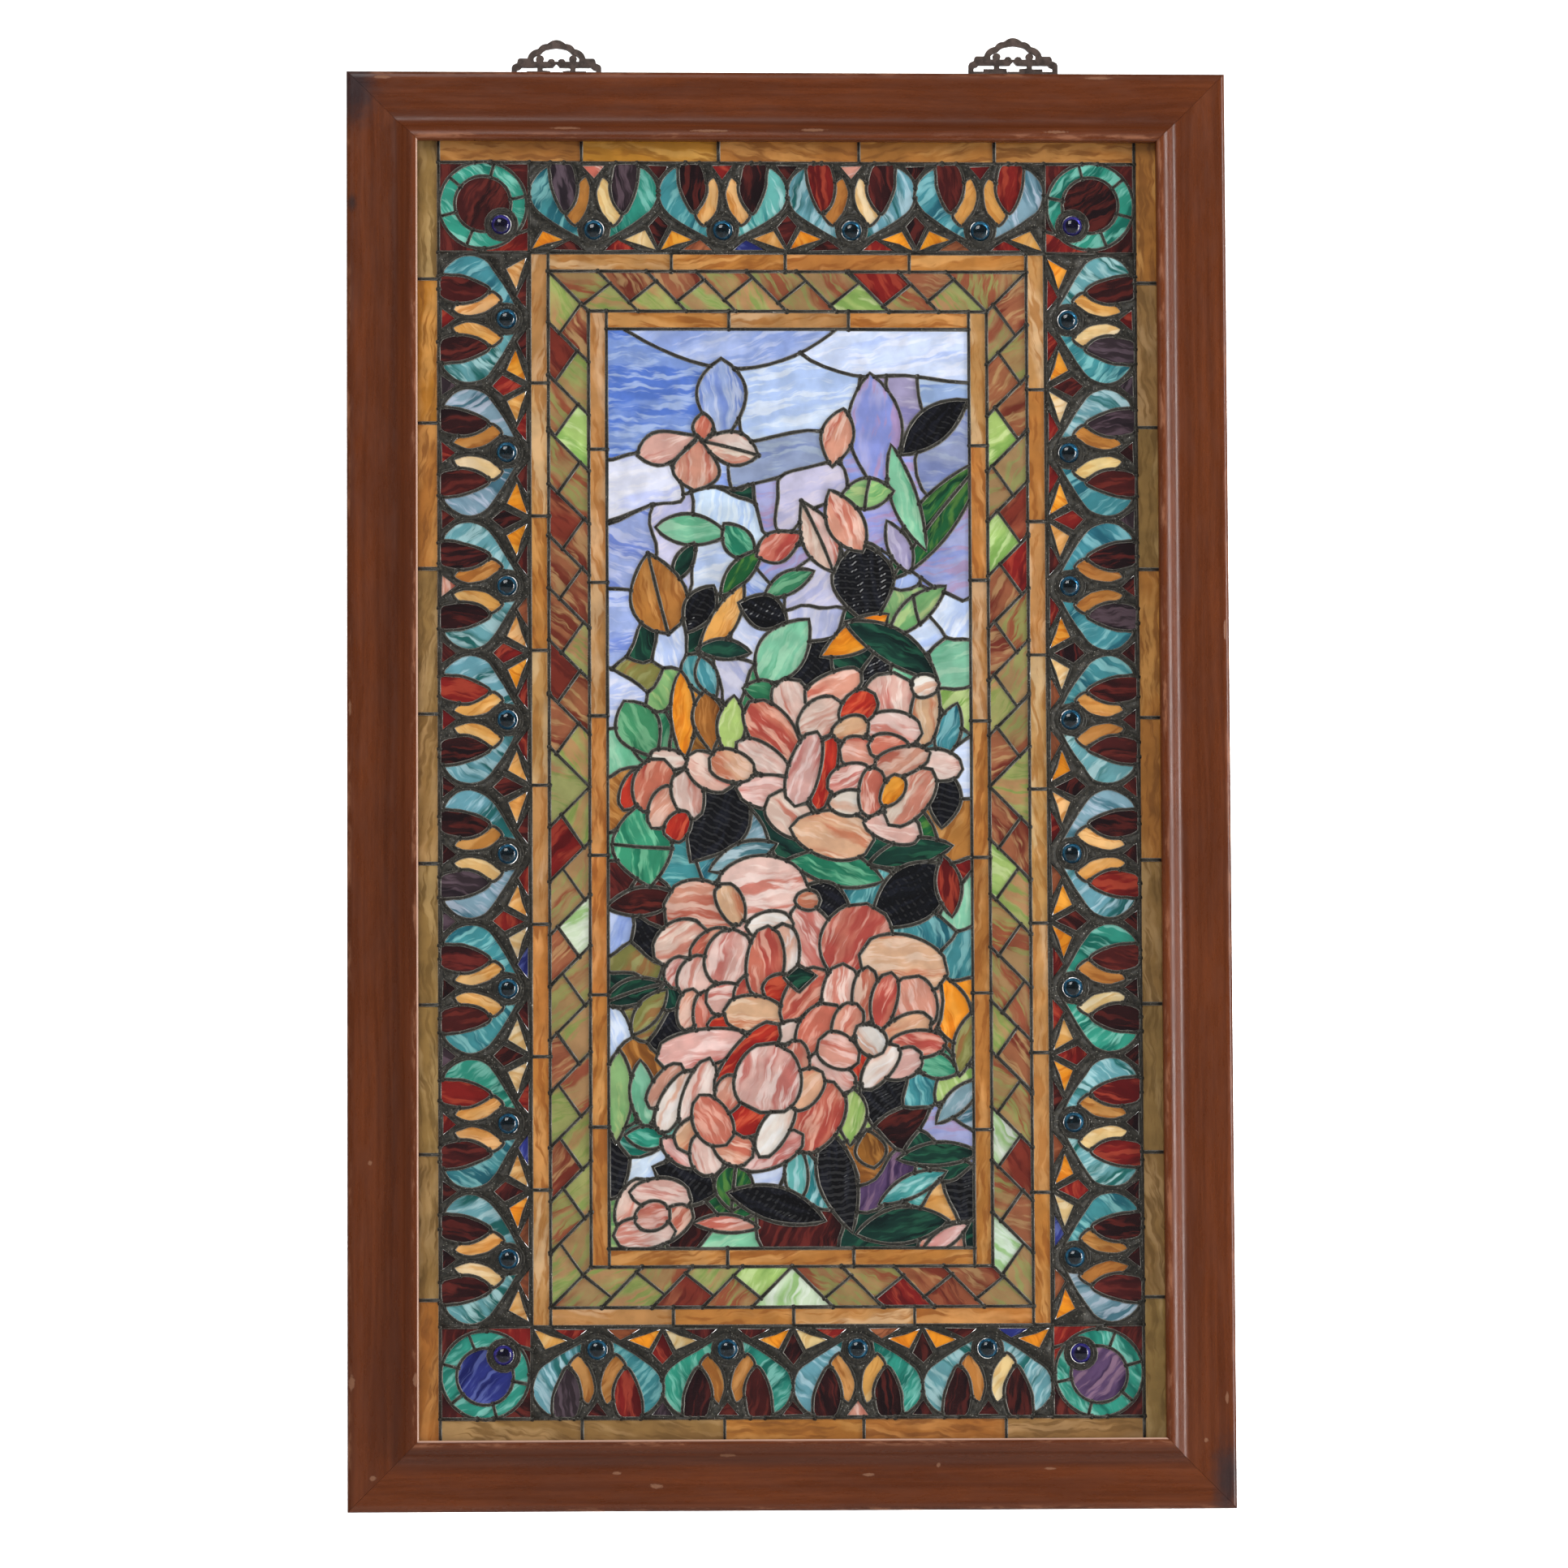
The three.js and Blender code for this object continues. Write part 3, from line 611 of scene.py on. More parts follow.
def draw_motif(plan, side, u, half_pitch, rng, last):
    """A lotus of crescents, almonds and petals about one jewel, and half of a crown each side."""
    turn = side_turn(side)

    def put(points, glass, flow=None, curved=True):
        moved = [(u + p + rng.uniform(-1, 1) * WOBBLE, q + rng.uniform(-WOBBLE, WOBBLE))
                 for p, q in points]
        moved = in_band(moved)
        if curved:
            moved = in_band(smooth_curve(moved, 3))
        plan.area([on_side(side, STRIPS_END, p, q) for p, q in moved], glass, flow)

    teals = ["sea", "teal", "tide", "viridian", "steel", "tide", "teal"]
    darks = ["wine", "maroon", "smoke", "wine", "wine", "maroon", "ruby"]
    ambers = ["honey", "amber", "butter", "honey"]
    kites = ["orange", "butter", "orange", "honey"]
    pair = rng.choice(teals)
    for sign in (-1, 1):
        def flip(points):
            return [(sign * p, q) for p, q in points][::sign]
        put(flip([(6.5, 68.3), (18, 58.6), (34, 68.3)]),
            rng.choice(["ruby", "maroon", "ruby", "rust", "indigo"]), None, False)
        put(flip([(22, 58.8), (39.4, 51.2), (48.6, 67.6), (36, 64)]),
            rng.choice(kites), turn + sign * 60, False)
        put(flip(CRESCENT), pair if rng.random() < 0.6 else rng.choice(teals), turn - sign * 55)
        put(flip(PETAL), rng.choice(ambers), turn - sign * 70)
        put(flip(ALMOND), rng.choice(darks), turn + 90)
    put([(-9, 1.5), (9, 1.5), (0, 13.5)],
        rng.choice(["maroon", "ruby", "salmon", "wine"]), None, False)
    for radius, count, kind in ((JEWEL_SEAT, 18, "solder"), (JEWEL_HOLE, 20, "none")):
        ring = circle(u, JEWEL_INSET, radius, count)
        plan.area([on_side(side, STRIPS_END, p, q) for p, q in ring], kind)
    if not last:
        edge = half_pitch
        put([(edge - 9, 1.5), (edge + 9, 1.5), (edge, 14)],
            rng.choice(["maroon", "wine", "smoke"]), None, False)
        put([(edge, 39.5), (edge + 8.8, 49), (edge, 65.5), (edge - 8.8, 49)],
            rng.choice(["wine", "maroon", "ruby", "wine"]), None, False)


def polar(x, z, radius, degrees):
    angle = math.radians(degrees)
    return (x + radius * math.cos(angle), z + radius * math.sin(angle))


def circle(x, z, radius, count):
    return [polar(x, z, radius, 360.0 * i / count) for i in range(count)]


# The corner's ring, its pieces' directions and glass, the cuts between them, and its boss.
RING, RING_RADIUS, RING_MIDDLE = (34, 33), 33.6, 28
RING_GLASS = ((80, "viridian"), (20, "tide"), (-45, "sea"), (-110, "teal"), (190, "viridian"),
              (140, "tide"))
RING_CUTS = (112, 50, -12, -75, -140, 165)
BOSS, BOSS_RADIUS = (34, 32), 21.6
BOSS_GLASS = {(-1, 1): "maroon", (1, 1): "wine", (-1, -1): "indigo", (1, -1): "plum"}
CORNER_SEAT = 12


def draw_corner(plan, sx, sz, rng):
    """The corner square: a round boss in a broken ring, with a jewel at its inner edge."""

    def moved(points):
        return [(sx * (STRIPS_END[0] - p), sz * (STRIPS_END[1] - q)) for p, q in points]

    def put(points, glass, flow=None):
        plan.area(moved(points), glass, flow)

    put(rectangle(0, JEWELS, 0, JEWELS), "maroon")
    put([(JEWELS, 30), (JEWELS, JEWELS), (52, JEWELS), (58, 50)], rng.choice(["ruby", "maroon"]))
    put([(30, JEWELS), (JEWELS, JEWELS), (JEWELS, 52), (50, 58)], rng.choice(["ruby", "maroon"]))
    put(circle(*RING, RING_RADIUS, 40), "seeded")
    for angle, glass in RING_GLASS:
        place = moved([polar(*RING, RING_MIDDLE, angle)])[0]
        plan.seed(*place, glass, math.degrees(math.atan2(sz, sx)))
    for angle in RING_CUTS:
        plan.seam(moved([polar(*RING, r, angle) for r in (20, 33)]))
    put(circle(*BOSS, BOSS_RADIUS, 30), BOSS_GLASS[(sx, sz)], 45)
    put(circle(CORNER_JEWEL, CORNER_JEWEL, CORNER_SEAT, 18), "solder")
    put(circle(CORNER_JEWEL, CORNER_JEWEL, JEWEL_HOLE, 20), "none")


def draw_strips(plan, outer, ends, width, counts, glass, rng, reach=0.0):
    """Strips end to end along a band. Ends and counts are for its uprights and for the others."""
    for side in DRAWN:
        kind = 0 if side in UPRIGHT else 1
        half, count = half_length(side, ends[kind]), counts[kind]
        for i in range(count):
            u0 = -half + 2 * half * i / count + (rng.uniform(-3, 3) if i else 0)
            shape = rectangle(u0, half, -reach, width)
            plan.area([on_side(side, outer, u, v) for u, v in shape], rng.choice(glass),
                      side_turn(side))


CHEVRON_OUTER = ["russet", "autumn", "brick", "autumn", "meadow", "russet", "ruby", "autumn"]
CHEVRON_INNER = ["meadow", "autumn", "russet", "meadow", "pearl", "lime", "autumn", "russet"]
CHEVRON_LEANS = (0.7, 0.88)
CHEVRON_CUT = 0.55


def draw_chevrons(plan, side, half, middle, before, after, rng):
    """Pieces that lean with the mitre at their own end, each cut in two, about a triangle."""
    width = CHEVRON
    turn = side_turn(side)

    def put(shape, glass, flow=turn):
        plan.area([on_side(side, INNER_END, u, v) for u, v in shape], glass, flow)

    put([(-half, 0), (half, 0), (half - width, width), (width - half, width)], "russet")
    for way, end, count in ((1, middle - width, before), (-1, -middle - width, after)):
        pitch = (end + half) / max(count, 1)
        for i in range(count):
            start = -half + i * pitch + (rng.uniform(-1.5, 1.5) if i else 0)
            stop = start + pitch if i < count - 1 else end
            lean = rng.uniform(*CHEVRON_LEANS)
            low = (start + width * lean, width * lean)
            high = (stop + width * (lean - CHEVRON_CUT), width * (lean - CHEVRON_CUT))
            parts = ([(start, 0), (end, 0), (end + width, width), (start + width, width)],
                     [(start, 0), (stop, 0), high, low])
            for shape, kinds in zip(parts, (CHEVRON_INNER, CHEVRON_OUTER)):
                put([(way * u, v) for u, v in shape], rng.choice(kinds),
                    turn - way * 45 + rng.uniform(-25, 25))
    put([(middle - width, 0), (middle + width, 0), (middle, width)],
        rng.choice(("pearl", "meadow", "autumn")), turn + 90)


def fill(plan, rect, glass):
    """Lays one glass over a whole rectangle about the middle."""
    w, h = rect
    plan.area([(-w, -h), (w, -h), (w, h), (-w, h)], glass)


def border_plan(rng):
    plan = Plan()
    fill(plan, PANEL, "amber")
    draw_strips(plan, SIGHT, (PANEL, STRIPS_END), STRIP, (9, 5),
                ["caramel", "tan", "caramel", "ochre", "tan"], rng, PANEL[0] - SIGHT[0])
    fill(plan, STRIPS_END, "solder")
    for side in SIDES:
        count = 8 if side in UPRIGHT else 4
        half = half_length(side, JEWELS_END)
        pitch = half / count
        for i in range(count):
            draw_motif(plan, side, -half + (2 * i + 1) * pitch, pitch, rng, i == count - 1)
    for sx, sz in ((1, 1), (1, -1), (-1, -1), (-1, 1)):
        draw_corner(plan, sx, sz, rng)
    fill(plan, JEWELS_END, "honey")
    draw_strips(plan, JEWELS_END, (JEWELS_END, INNER_END), INNER, (8, 4),
                ["sand", "amber", "sand"], rng)
    fill(plan, INNER_END, "khaki")
    for side in SIDES:
        half = half_length(side, INNER_END)
        each = 9 if side in UPRIGHT else 4
        turned = (half - CHEVRON, 2 * each, 0) if side == "top" else (0, each, each)
        draw_chevrons(plan, side, half, *turned, rng)
    fill(plan, CHEVRONS_END, "honey")
    draw_strips(plan, CHEVRONS_END, (CHEVRONS_END, PICTURE), AMBER, (7, 3),
                ["sand", "amber", "amber"], rng)
    fill(plan, PICTURE, "none")
    return plan


# ---------------------------------------------------------------- the picture

# Pieces of the ground: x, z and the glass. Each takes the room nearest to it.
GROUND = [
    (-122, 185, "sky"), (-60, 172, "pale"), (-88, 180, "lilac"), (-125, 115, "sky"),
    (-90, 105, "pale"), (-30, 120, "pale"), (-130, 70, "pale"), (-42, 84, "lilac"),
    (-112, 92, "olive"), (-98, 72, "light"), (-110, 108, "deep"), (-62, 84, "teal"),
    (-22, 72, "green"), (-5, 172, "lavender"), (14, 150, "lilac"), (10, 124, "lilac"),
    (-28, 152, "sky"), (72, 205, "mauve"), (92, 172, "sky"), (118, 165, "lavender"),
    (126, 130, "pale"), (100, 118, "pale"), (92, 140, "light"), (124, 92, "mint"),
    (134, 60, "lime"), (136, 22, "pale"), (120, 42, "teal"), (-132, 28, "mint"),
    (-112, 45, "green"), (-128, -4, "amber"), (-80, 55, "orange"), (-62, 48, "umber"),
    (-44, 45, "lime"), (20, 92, "black"), (45, 98, "deep"), (64, 90, "black"), (86, 88, "mint"),
    (-60, 112, "deep"), (-115, -45, "emerald"), (-135, -80, "maroon"), (-100, -88, "maroon"),
    (-60, -58, "teal"), (-28, -52, "steel"), (-84, -64, "teal"), (-2, -42, "deep"),
    (75, -45, "deep"), (98, -48, "leaf"), (124, -32, "amber"), (120, -75, "ruby"),
    (134, -88, "mint"), (58, -86, "teal"), (100, -112, "teal"), (128, -130, "teal"),
    (8, -88, "salmon"), (-132, -112, "sky"), (-112, -116, "black"), (-120, -136, "olive"),
    (-122, -156, "deep"), (-132, -186, "pale"), (-110, -174, "olive"), (-90, -186, "black"),
    (-96, -152, "deep"), (-113, -203, "umber"), (2, -146, "deep"), (122, -168, "orange"),
    (133, -198, "umber"), (108, -212, "emerald"), (96, -232, "teal"), (120, -230, "lime"),
    (130, -248, "steel"), (75, -236, "black"), (86, -256, "wine"), (122, -264, "lavender"),
    (44, -250, "lime"), (62, -276, "umber"), (112, -284, "deep"), (76, -298, "plum"),
    (96, -310, "sea"), (106, -320, "honey"), (130, -314, "black"), (22, -282, "maroon"),
    (0, -296, "sea"), (-18, -298, "pale"), (-46, -306, "leaf"), (-82, -302, "black"),
    (-130, -285, "black"), (-110, -290, "pale"), (-112, -270, "viridian"), (-72, -324, "wine"),
    (-50, -347, "mint"), (2, -345, "maroon"), (80, -338, "deep"), (120, -345, "salmon"),
    (136, -338, "deep"), (-132, -334, "light"), (-132, -236, "green"), (-113, -236, "mint"),
    (-20, 228, "deep"), (-32, 200, "pale"), (34, 64, "coral"),
]

# Pieces of the sky: the glass and a rounded outline.
SKY = [
    ("lavender", [(-20, 196), (40, 190), (64, 186), (150, 150), (150, 360), (60, 360), (-20, 320)]),
    ("sky", [(-150, 204), (-105, 216), (-60, 230), (-30, 232), (-20, 290), (-150, 290)]),
    ("white", [(-150, 204), (-105, 216), (-80, 222), (-100, 257), (-150, 257)]),
    ("blue", [(-150, 257), (-112, 257), (-60, 262), (-33, 270), (-33, 340), (-150, 350)]),
    ("pale", [(-34, 262), (-22, 266), (25, 273), (44, 280), (52, 335), (-34, 335)]),
    ("grey", [(-44, 258), (-22, 266), (25, 273), (40, 247), (15, 245), (-5, 238), (-33, 231),
              (-44, 230)]),
    ("lilac", [(-6, 238), (15, 245), (40, 248), (44, 222), (20, 214), (0, 194), (-10, 200),
               (-8, 222)]),
    ("mauve", [(76, 322), (106, 322), (108, 296), (96, 268), (84, 262)]),
    ("sky", [(104, 330), (150, 330), (150, 296), (118, 282), (102, 292)]),
    ("grey", [(100, 262), (150, 296), (150, 236), (108, 222)]),
    ("pale", [(10, 333), (50, 316), (90, 316), (150, 313), (150, 360), (10, 360)]),
    ("bowl", [(-122, 360), (-118, 347), (-75, 327), (-35, 321), (5, 331), (38, 352), (38, 360)]),
]

# Leaves and petals: x, z, length, width, turn of the midrib in degrees, bend, bluntness of the far
# end, the glass, and for some the cut: "|" along the midrib, "/" across.
LEAVES = [
    (-50, 296, 66, 38, 92, 0.05, 1.3, "sky"), (66, 272, 92, 42, 94, -0.04, 1.1, "lavender"),
    (38, 268, 46, 25, 78, 0.05, 1.1, "salmon"), (112, 276, 66, 27, 40, 0.12, 1.0, "black"),
    (114, 205, 118, 32, 52, 0.08, 0.9, "leaf", "|"), (92, 222, 86, 20, -72, -0.16, 1.0, "mint"),
    (60, 224, 42, 24, 8, 0.1, 1.0, "light", "/"), (84, 184, 44, 18, -66, 0.06, 1.1, "mauve"),
    (-74, 196, 56, 24, -6, 0.08, 0.9, "mint"), (-38, 188, 36, 22, -50, -0.1, 1.0, "emerald"),
    (-80, 172, 34, 14, 62, 0.05, 1.0, "deep"), (-36, 164, 48, 17, 48, 0.12, 1.0, "leaf"),
    (0, 155, 44, 17, 28, 0.14, 1.0, "green"), (98, 134, 60, 20, 42, 0.1, 1.0, "light", "/"),
    (-100, 148, 64, 44, 104, 0.02, 0.8, "amber", "|"), (-68, 136, 42, 24, 60, 0.08, 1.1, "black"),
    (-52, 128, 66, 20, 58, -0.14, 1.0, "honey"), (-20, 134, 40, 27, -20, 0.04, 1.1, "black"),
    (-50, 104, 42, 16, -4, 0.14, 1.0, "deep"), (58, 154, 66, 48, 98, 0.03, 1.3, "black"),
    (50, 116, 62, 24, 32, -0.1, 1.1, "orange"), (-4, 104, 62, 36, 52, 0.06, 0.9, "mint"),
    (78, 104, 84, 26, -32, 0.2, 1.0, "deep"), (-20, 72, 32, 18, -12, 0.1, 1.0, "green"),
    (-82, 54, 70, 19, -88, 0.05, 0.9, "orange"), (-62, 50, 48, 24, 96, 0.0, 1.2, "umber"),
    (-62, 84, 34, 17, 110, 0.1, 1.1, "teal"), (-44, 45, 50, 22, 86, 0.05, 1.1, "lime"),
    (122, 42, 46, 20, 74, 0.08, 1.0, "teal"), (-114, 44, 50, 34, 120, 0.05, 1.2, "green"),
    (-56, -28, 72, 48, 56, 0.04, 1.2, "black"), (118, -10, 44, 26, 84, 0.0, 1.1, "black"),
    (-112, -46, 62, 46, 100, 0.03, 1.1, "emerald", "/"),
    (34, -64, 76, 28, -12, 0.12, 1.1, "emerald"), (92, -52, 66, 22, 12, 0.1, 1.0, "deep"),
    (-36, -54, 56, 20, 22, 0.1, 1.0, "steel"), (24, -88, 46, 30, -18, 0.1, 1.1, "black"),
    (92, -84, 78, 44, 36, 0.05, 1.1, "black"), (-112, -88, 58, 22, 8, 0.05, 1.0, "maroon"),
    (120, -76, 48, 20, -82, 0.08, 1.0, "ruby"), (-120, -158, 50, 20, 18, 0.14, 1.0, "deep", "|"),
    (-108, -172, 44, 18, 52, 0.1, 1.0, "olive"), (120, -170, 58, 30, -74, 0.12, 1.1, "orange"),
    (134, -196, 52, 18, 76, 0.08, 1.0, "olive"), (-132, -236, 72, 24, 88, 0.03, 1.1, "light"),
    (-112, -236, 56, 20, 96, 0.06, 1.1, "mint"), (-110, -268, 34, 18, -8, 0.1, 1.0, "viridian"),
    (110, -214, 36, 20, -14, 0.14, 1.0, "emerald"), (128, -240, 50, 17, 44, 0.08, 1.0, "steel"),
    (112, -282, 64, 18, 4, 0.12, 1.0, "deep"), (92, -306, 58, 17, 26, 0.12, 1.0, "sea"),
    (60, -276, 30, 24, -80, 0.0, 1.2, "umber"), (46, -252, 44, 24, 86, 0.05, 1.2, "lime"),
    (36, -300, 82, 30, 104, 0.05, 1.1, "black"), (4, -292, 48, 18, 92, 0.06, 0.8, "sea"),
    (-44, -304, 38, 30, 84, 0.03, 1.0, "leaf", "|"), (-82, -300, 52, 38, -24, 0.08, 1.2, "black"),
    (-12, -320, 78, 27, -16, 0.1, 1.0, "black"), (84, -336, 72, 28, 8, 0.1, 1.0, "deep"),
    (-50, -334, 50, 14, -4, 0.12, 1.0, "salmon"), (116, -345, 46, 14, 34, 0.05, 1.0, "pink"),
]

# Small open flowers and buds, drawn petal by petal in the same terms.
FLOWERS = [
    (-92, 262, 50, 26, 198, 0.05, 1.5, "pink"), (-46, 260, 48, 26, -14, 0.05, 1.3, "blush", "|"),
    (-65, 276, 22, 16, 90, 0.0, 1.0, "coral"), (-70, 248, 42, 36, -96, 0.0, 1.5, "salmon"),
    (-6, 186, 42, 24, 206, 0.06, 1.4, "coral"), (22, 192, 60, 28, -66, 0.08, 1.2, "blush", "|"),
    (44, 204, 54, 28, 118, 0.1, 0.9, "salmon"),
]

# Beds that show between the petals of the full blooms: x, z and radius.
BLOOM_BEDS = [(32, 18, 56), (-92, 2, 24), (-36, -122, 54), (66, -164, 50), (-32, -232, 54),
              (-110, -326, 24)]

# Petals of the full blooms, outermost first: x, z, length, width, turn and the glass.
PETALS = [
    (76, 64, 44, 36, 80, "pink"), (104, 56, 48, 20, 84, "peach"), (104, 77, 20, 16, 10, "cream"),
    (4, 54, 56, 28, -74, "blush"), (34, 76, 46, 22, 28, "salmon"), (-14, 40, 56, 30, -56, "coral"),
    (-20, 20, 46, 20, -34, "blush"), (24, 52, 38, 26, 36, "blush"), (-14, -3, 50, 24, -4, "pink"),
    (114, 16, 34, 22, -8, "blush"), (0, -22, 40, 28, -42, "blush"), (32, -36, 60, 34, -8, "peach"),
    (78, -32, 42, 22, -12, "pink"), (92, -8, 50, 26, 52, "blush"), (78, 44, 44, 24, -8, "blush"),
    (52, 60, 32, 22, 40, "red"), (46, 44, 28, 18, 16, "peach"), (54, 26, 30, 22, -10, "salmon"),
    (76, 30, 30, 18, -6, "coral"), (86, 19, 42, 20, 18, "salmon"), (27, 10, 56, 18, 78, "red"),
    (12, 14, 56, 22, 74, "pink"), (46, 5, 34, 22, 20, "pink"), (44, -12, 28, 18, 4, "cream"),
    (62, -4, 36, 19, 84, "salmon"), (78, -3, 26, 15, 58, "orange"), (-93, 20, 28, 15, -4, "blush"),
    (-120, -2, 32, 16, 66, "red"), (-104, 1, 40, 28, 68, "coral"), (-96, -16, 34, 22, 58, "salmon"),
    (-77, -6, 36, 22, -78, "blush"), (-85, -30, 24, 17, 60, "red"), (-61, 12, 38, 24, -34, "pink"),
    (-44, 16, 34, 22, -18, "peach"), (-22, -80, 68, 46, 2, "blush"),
    (-68, -96, 54, 42, -12, "salmon"), (-46, -90, 32, 18, -66, "peach"),
    (-84, -120, 42, 30, 28, "blush"), (-60, -122, 36, 20, 30, "coral"),
    (-85, -142, 24, 20, 60, "pink"), (-71, -146, 34, 26, 62, "blush"),
    (18, -116, 56, 34, -68, "pink"), (13, -87, 18, 14, 0, "peach"), (-46, -131, 42, 34, 82, "pink"),
    (-16, -106, 34, 20, 4, "cream"), (-4, -126, 40, 22, 96, "cream"),
    (-78, -170, 30, 17, 78, "salmon"), (-65, -174, 34, 17, 92, "coral"),
    (-50, -161, 28, 22, 14, "pink"), (-31, -158, 30, 22, 68, "coral"),
    (-20, -134, 52, 26, 84, "coral"), (-50, -183, 26, 17, -6, "red"), (-8, -155, 25, 22, 32, "red"),
    (-27, -175, 46, 26, -8, "peach"), (10, -160, 48, 24, 50, "coral"),
    (-3, -187, 26, 15, 18, "blush"), (52, -120, 58, 50, 78, "coral"),
    (86, -136, 64, 40, -12, "peach"), (94, -166, 40, 34, -66, "salmon"),
    (38, -160, 46, 28, 86, "blush"), (57, -160, 42, 18, 86, "salmon"),
    (72, -164, 42, 18, 78, "coral"), (86, -186, 42, 20, 22, "peach"),
    (96, -197, 42, 19, 4, "coral"), (22, -188, 46, 30, 58, "coral"), (50, -209, 34, 18, -80, "red"),
    (42, -181, 32, 20, 62, "salmon"), (84, -212, 32, 20, 30, "pink"),
    (30, -219, 40, 24, -28, "blush"), (36, -202, 32, 24, -30, "salmon"),
    (5, -207, 26, 16, -72, "salmon"), (68, -214, 40, 18, 52, "cream"),
    (60, -193, 26, 20, -46, "cream"), (18, -252, 56, 40, 62, "coral"),
    (-67, -200, 68, 26, 12, "pink"), (-96, -228, 38, 19, 54, "salmon"),
    (-88, -240, 50, 18, 62, "cream"), (-70, -235, 54, 22, 74, "blush"),
    (-34, -206, 66, 22, 46, "red"), (-85, -278, 32, 17, -34, "pink"),
    (-75, -264, 30, 22, 44, "peach"), (-15, -278, 50, 20, 28, "pink"),
    (-65, -280, 32, 22, -68, "blush"), (-45, -274, 32, 24, -28, "salmon"),
    (-32, -251, 32, 26, 42, "red"), (-12, -262, 44, 19, 58, "cream"),
    (10, -230, 34, 24, 42, "peach"), (-47, -235, 30, 20, 68, "salmon"),
    (-60, -254, 40, 26, -62, "coral"), (-18, -222, 50, 46, 78, "pink"),
    (-120, -318, 40, 24, 62, "blush"), (-100, -312, 44, 24, -8, "pink"),
    (-92, -334, 38, 20, 40, "salmon"), (-112, -340, 44, 22, 4, "blush"),
    (-106, -327, 26, 20, 20, "salmon"),
]


LEAF_FULLNESS, PETAL_FULLNESS = 0.8, 0.42
LEAF_STEPS = 12


def leaf_shape(x, z, length, width, turn, bend, blunt, fullness=LEAF_FULLNESS):
    """A leaf's outline, and a function that gives a place on it from along and across."""
    angle = math.radians(turn)
    cos, sin = math.cos(angle), math.sin(angle)

    def place(s, t):
        t += bend * length * (0.25 - s * s)
        s *= length
        return (x + s * cos - t * sin, z + s * sin + t * cos)

    def half(s):
        return width / 2 * math.sin(math.pi * (s + 0.5) ** blunt) ** fullness

    marks = [-0.5 + i / LEAF_STEPS for i in range(LEAF_STEPS + 1)]
    outline = [place(s, -half(s) if -0.5 < s < 0.5 else 0) for s in marks]
    outline += [place(s, half(s)) for s in reversed(marks[1:-1])]
    return outline, place, half


def draw_leaf(plan, x, z, length, width, turn, bend, blunt, glass, cut=None):
    outline, place, half = leaf_shape(x, z, length, width, turn, bend, blunt)
    plan.area(outline, glass, turn)
    if cut == "|":
        plan.seam([place(s / 10, 0) for s in range(-5, 6)])
    if cut == "/":
        plan.seam([place(-0.08, -half(-0.08)), place(0, 0), place(0.1, half(0.1))])


def draw_blooms(plan, rng):
    """Loose petals, each lapping over the ones before it."""
    for x, z, radius in BLOOM_BEDS:
        plan.area(circle(x, z, radius, 24), "salmon", 40)
    for x, z, length, width, turn, glass in PETALS:
        bend, blunt = rng.uniform(-0.12, 0.12), rng.uniform(0.75, 1.3)
        shape = leaf_shape(x, z, length * 1.08, width * 1.12, turn, bend, blunt, PETAL_FULLNESS)
        plan.area(shape[0], glass, turn)
    plan.area([(-6, -146), (6, -136), (20, -144), (6, -157)], "deep")


def nearest_rooms(places, left, right, low, high):
    """The straight-sided room about each place that is nearer to it than to any other."""
    rooms = []
    for i, (ax, az) in enumerate(places):
        room = [(left, low), (right, low), (right, high), (left, high)]
        for j, (bx, bz) in enumerate(places):
            if i == j:
                continue
            dx, dz = bx - ax, bz - az
            limit = (bx * bx + bz * bz - ax * ax - az * az) / 2
            cut = []
            for p, q in zip(room, room[1:] + room[:1]):
                fp, fq = p[0] * dx + p[1] * dz - limit, q[0] * dx + q[1] * dz - limit
                if fp <= 0:
                    cut.append(p)
                if (fp < 0 < fq) or (fq < 0 < fp):
                    t = fp / (fp - fq)
                    cut.append((p[0] + (q[0] - p[0]) * t, p[1] + (q[1] - p[1]) * t))
            room = cut
            if not room:
                break
        rooms.append(room)
    return rooms


def sway(x, z):
    """A gentle unevenness that bends the seams of the ground."""
    return (x + 4.5 * math.sin(z * 0.061 + x * 0.023) + 1.8 * math.sin(z * 0.17 + 1),
            z + 4.0 * math.sin(x * 0.067 - z * 0.019 + 2) + 1.8 * math.sin(x * 0.19))


def draw_ground_seams(plan, rooms):
    """The walls between the rooms, each drawn once."""
    drawn = set()
    for room in rooms:
        for p, q in zip(room, room[1:] + room[:1]):
            key = tuple(sorted((round(x, 2), round(z, 2)) for x, z in (p, q)))
            if key in drawn or key[0] == key[1]:
                continue
            drawn.add(key)
            (ax, az), (bx, bz) = key
            steps = max(1, round(math.dist(*key) / 7))
            plan.seam([sway(ax + (bx - ax) * k / steps, az + (bz - az) * k / steps)
                       for k in range(steps + 1)])


def picture_plan(rng):
    plan = Plan(edged=False)
    w, h = PICTURE
    fill(plan, inner(PICTURE, -40), "seeded")
    rooms = nearest_rooms([g[:2] for g in GROUND], -w - 30, w + 30, -h - 30, h + 30)
    draw_ground_seams(plan, rooms)
    for x, z, glass in GROUND:
        plan.seed(*sway(x, z), glass)
    for glass, outline in SKY:
        plan.area(smooth_curve(outline, 4), glass, 5)
    for leaf in LEAVES:
        draw_leaf(plan, *leaf)
    draw_blooms(plan, rng)
    for petal in FLOWERS:
        draw_leaf(plan, *petal)
    hole = [(-w, -h), (w, -h), (w, h), (-w, h)]
    rim = [(-w - 60, -h - 60), (w + 60, -h - 60), (w + 60, h + 60), (-w - 60, h + 60)]
    plan.area(rim[:1] + hole + hole[:1] + rim[:1] + rim[1:][::-1], "none")
    return plan


# ---------------------------------------------------------------- materials


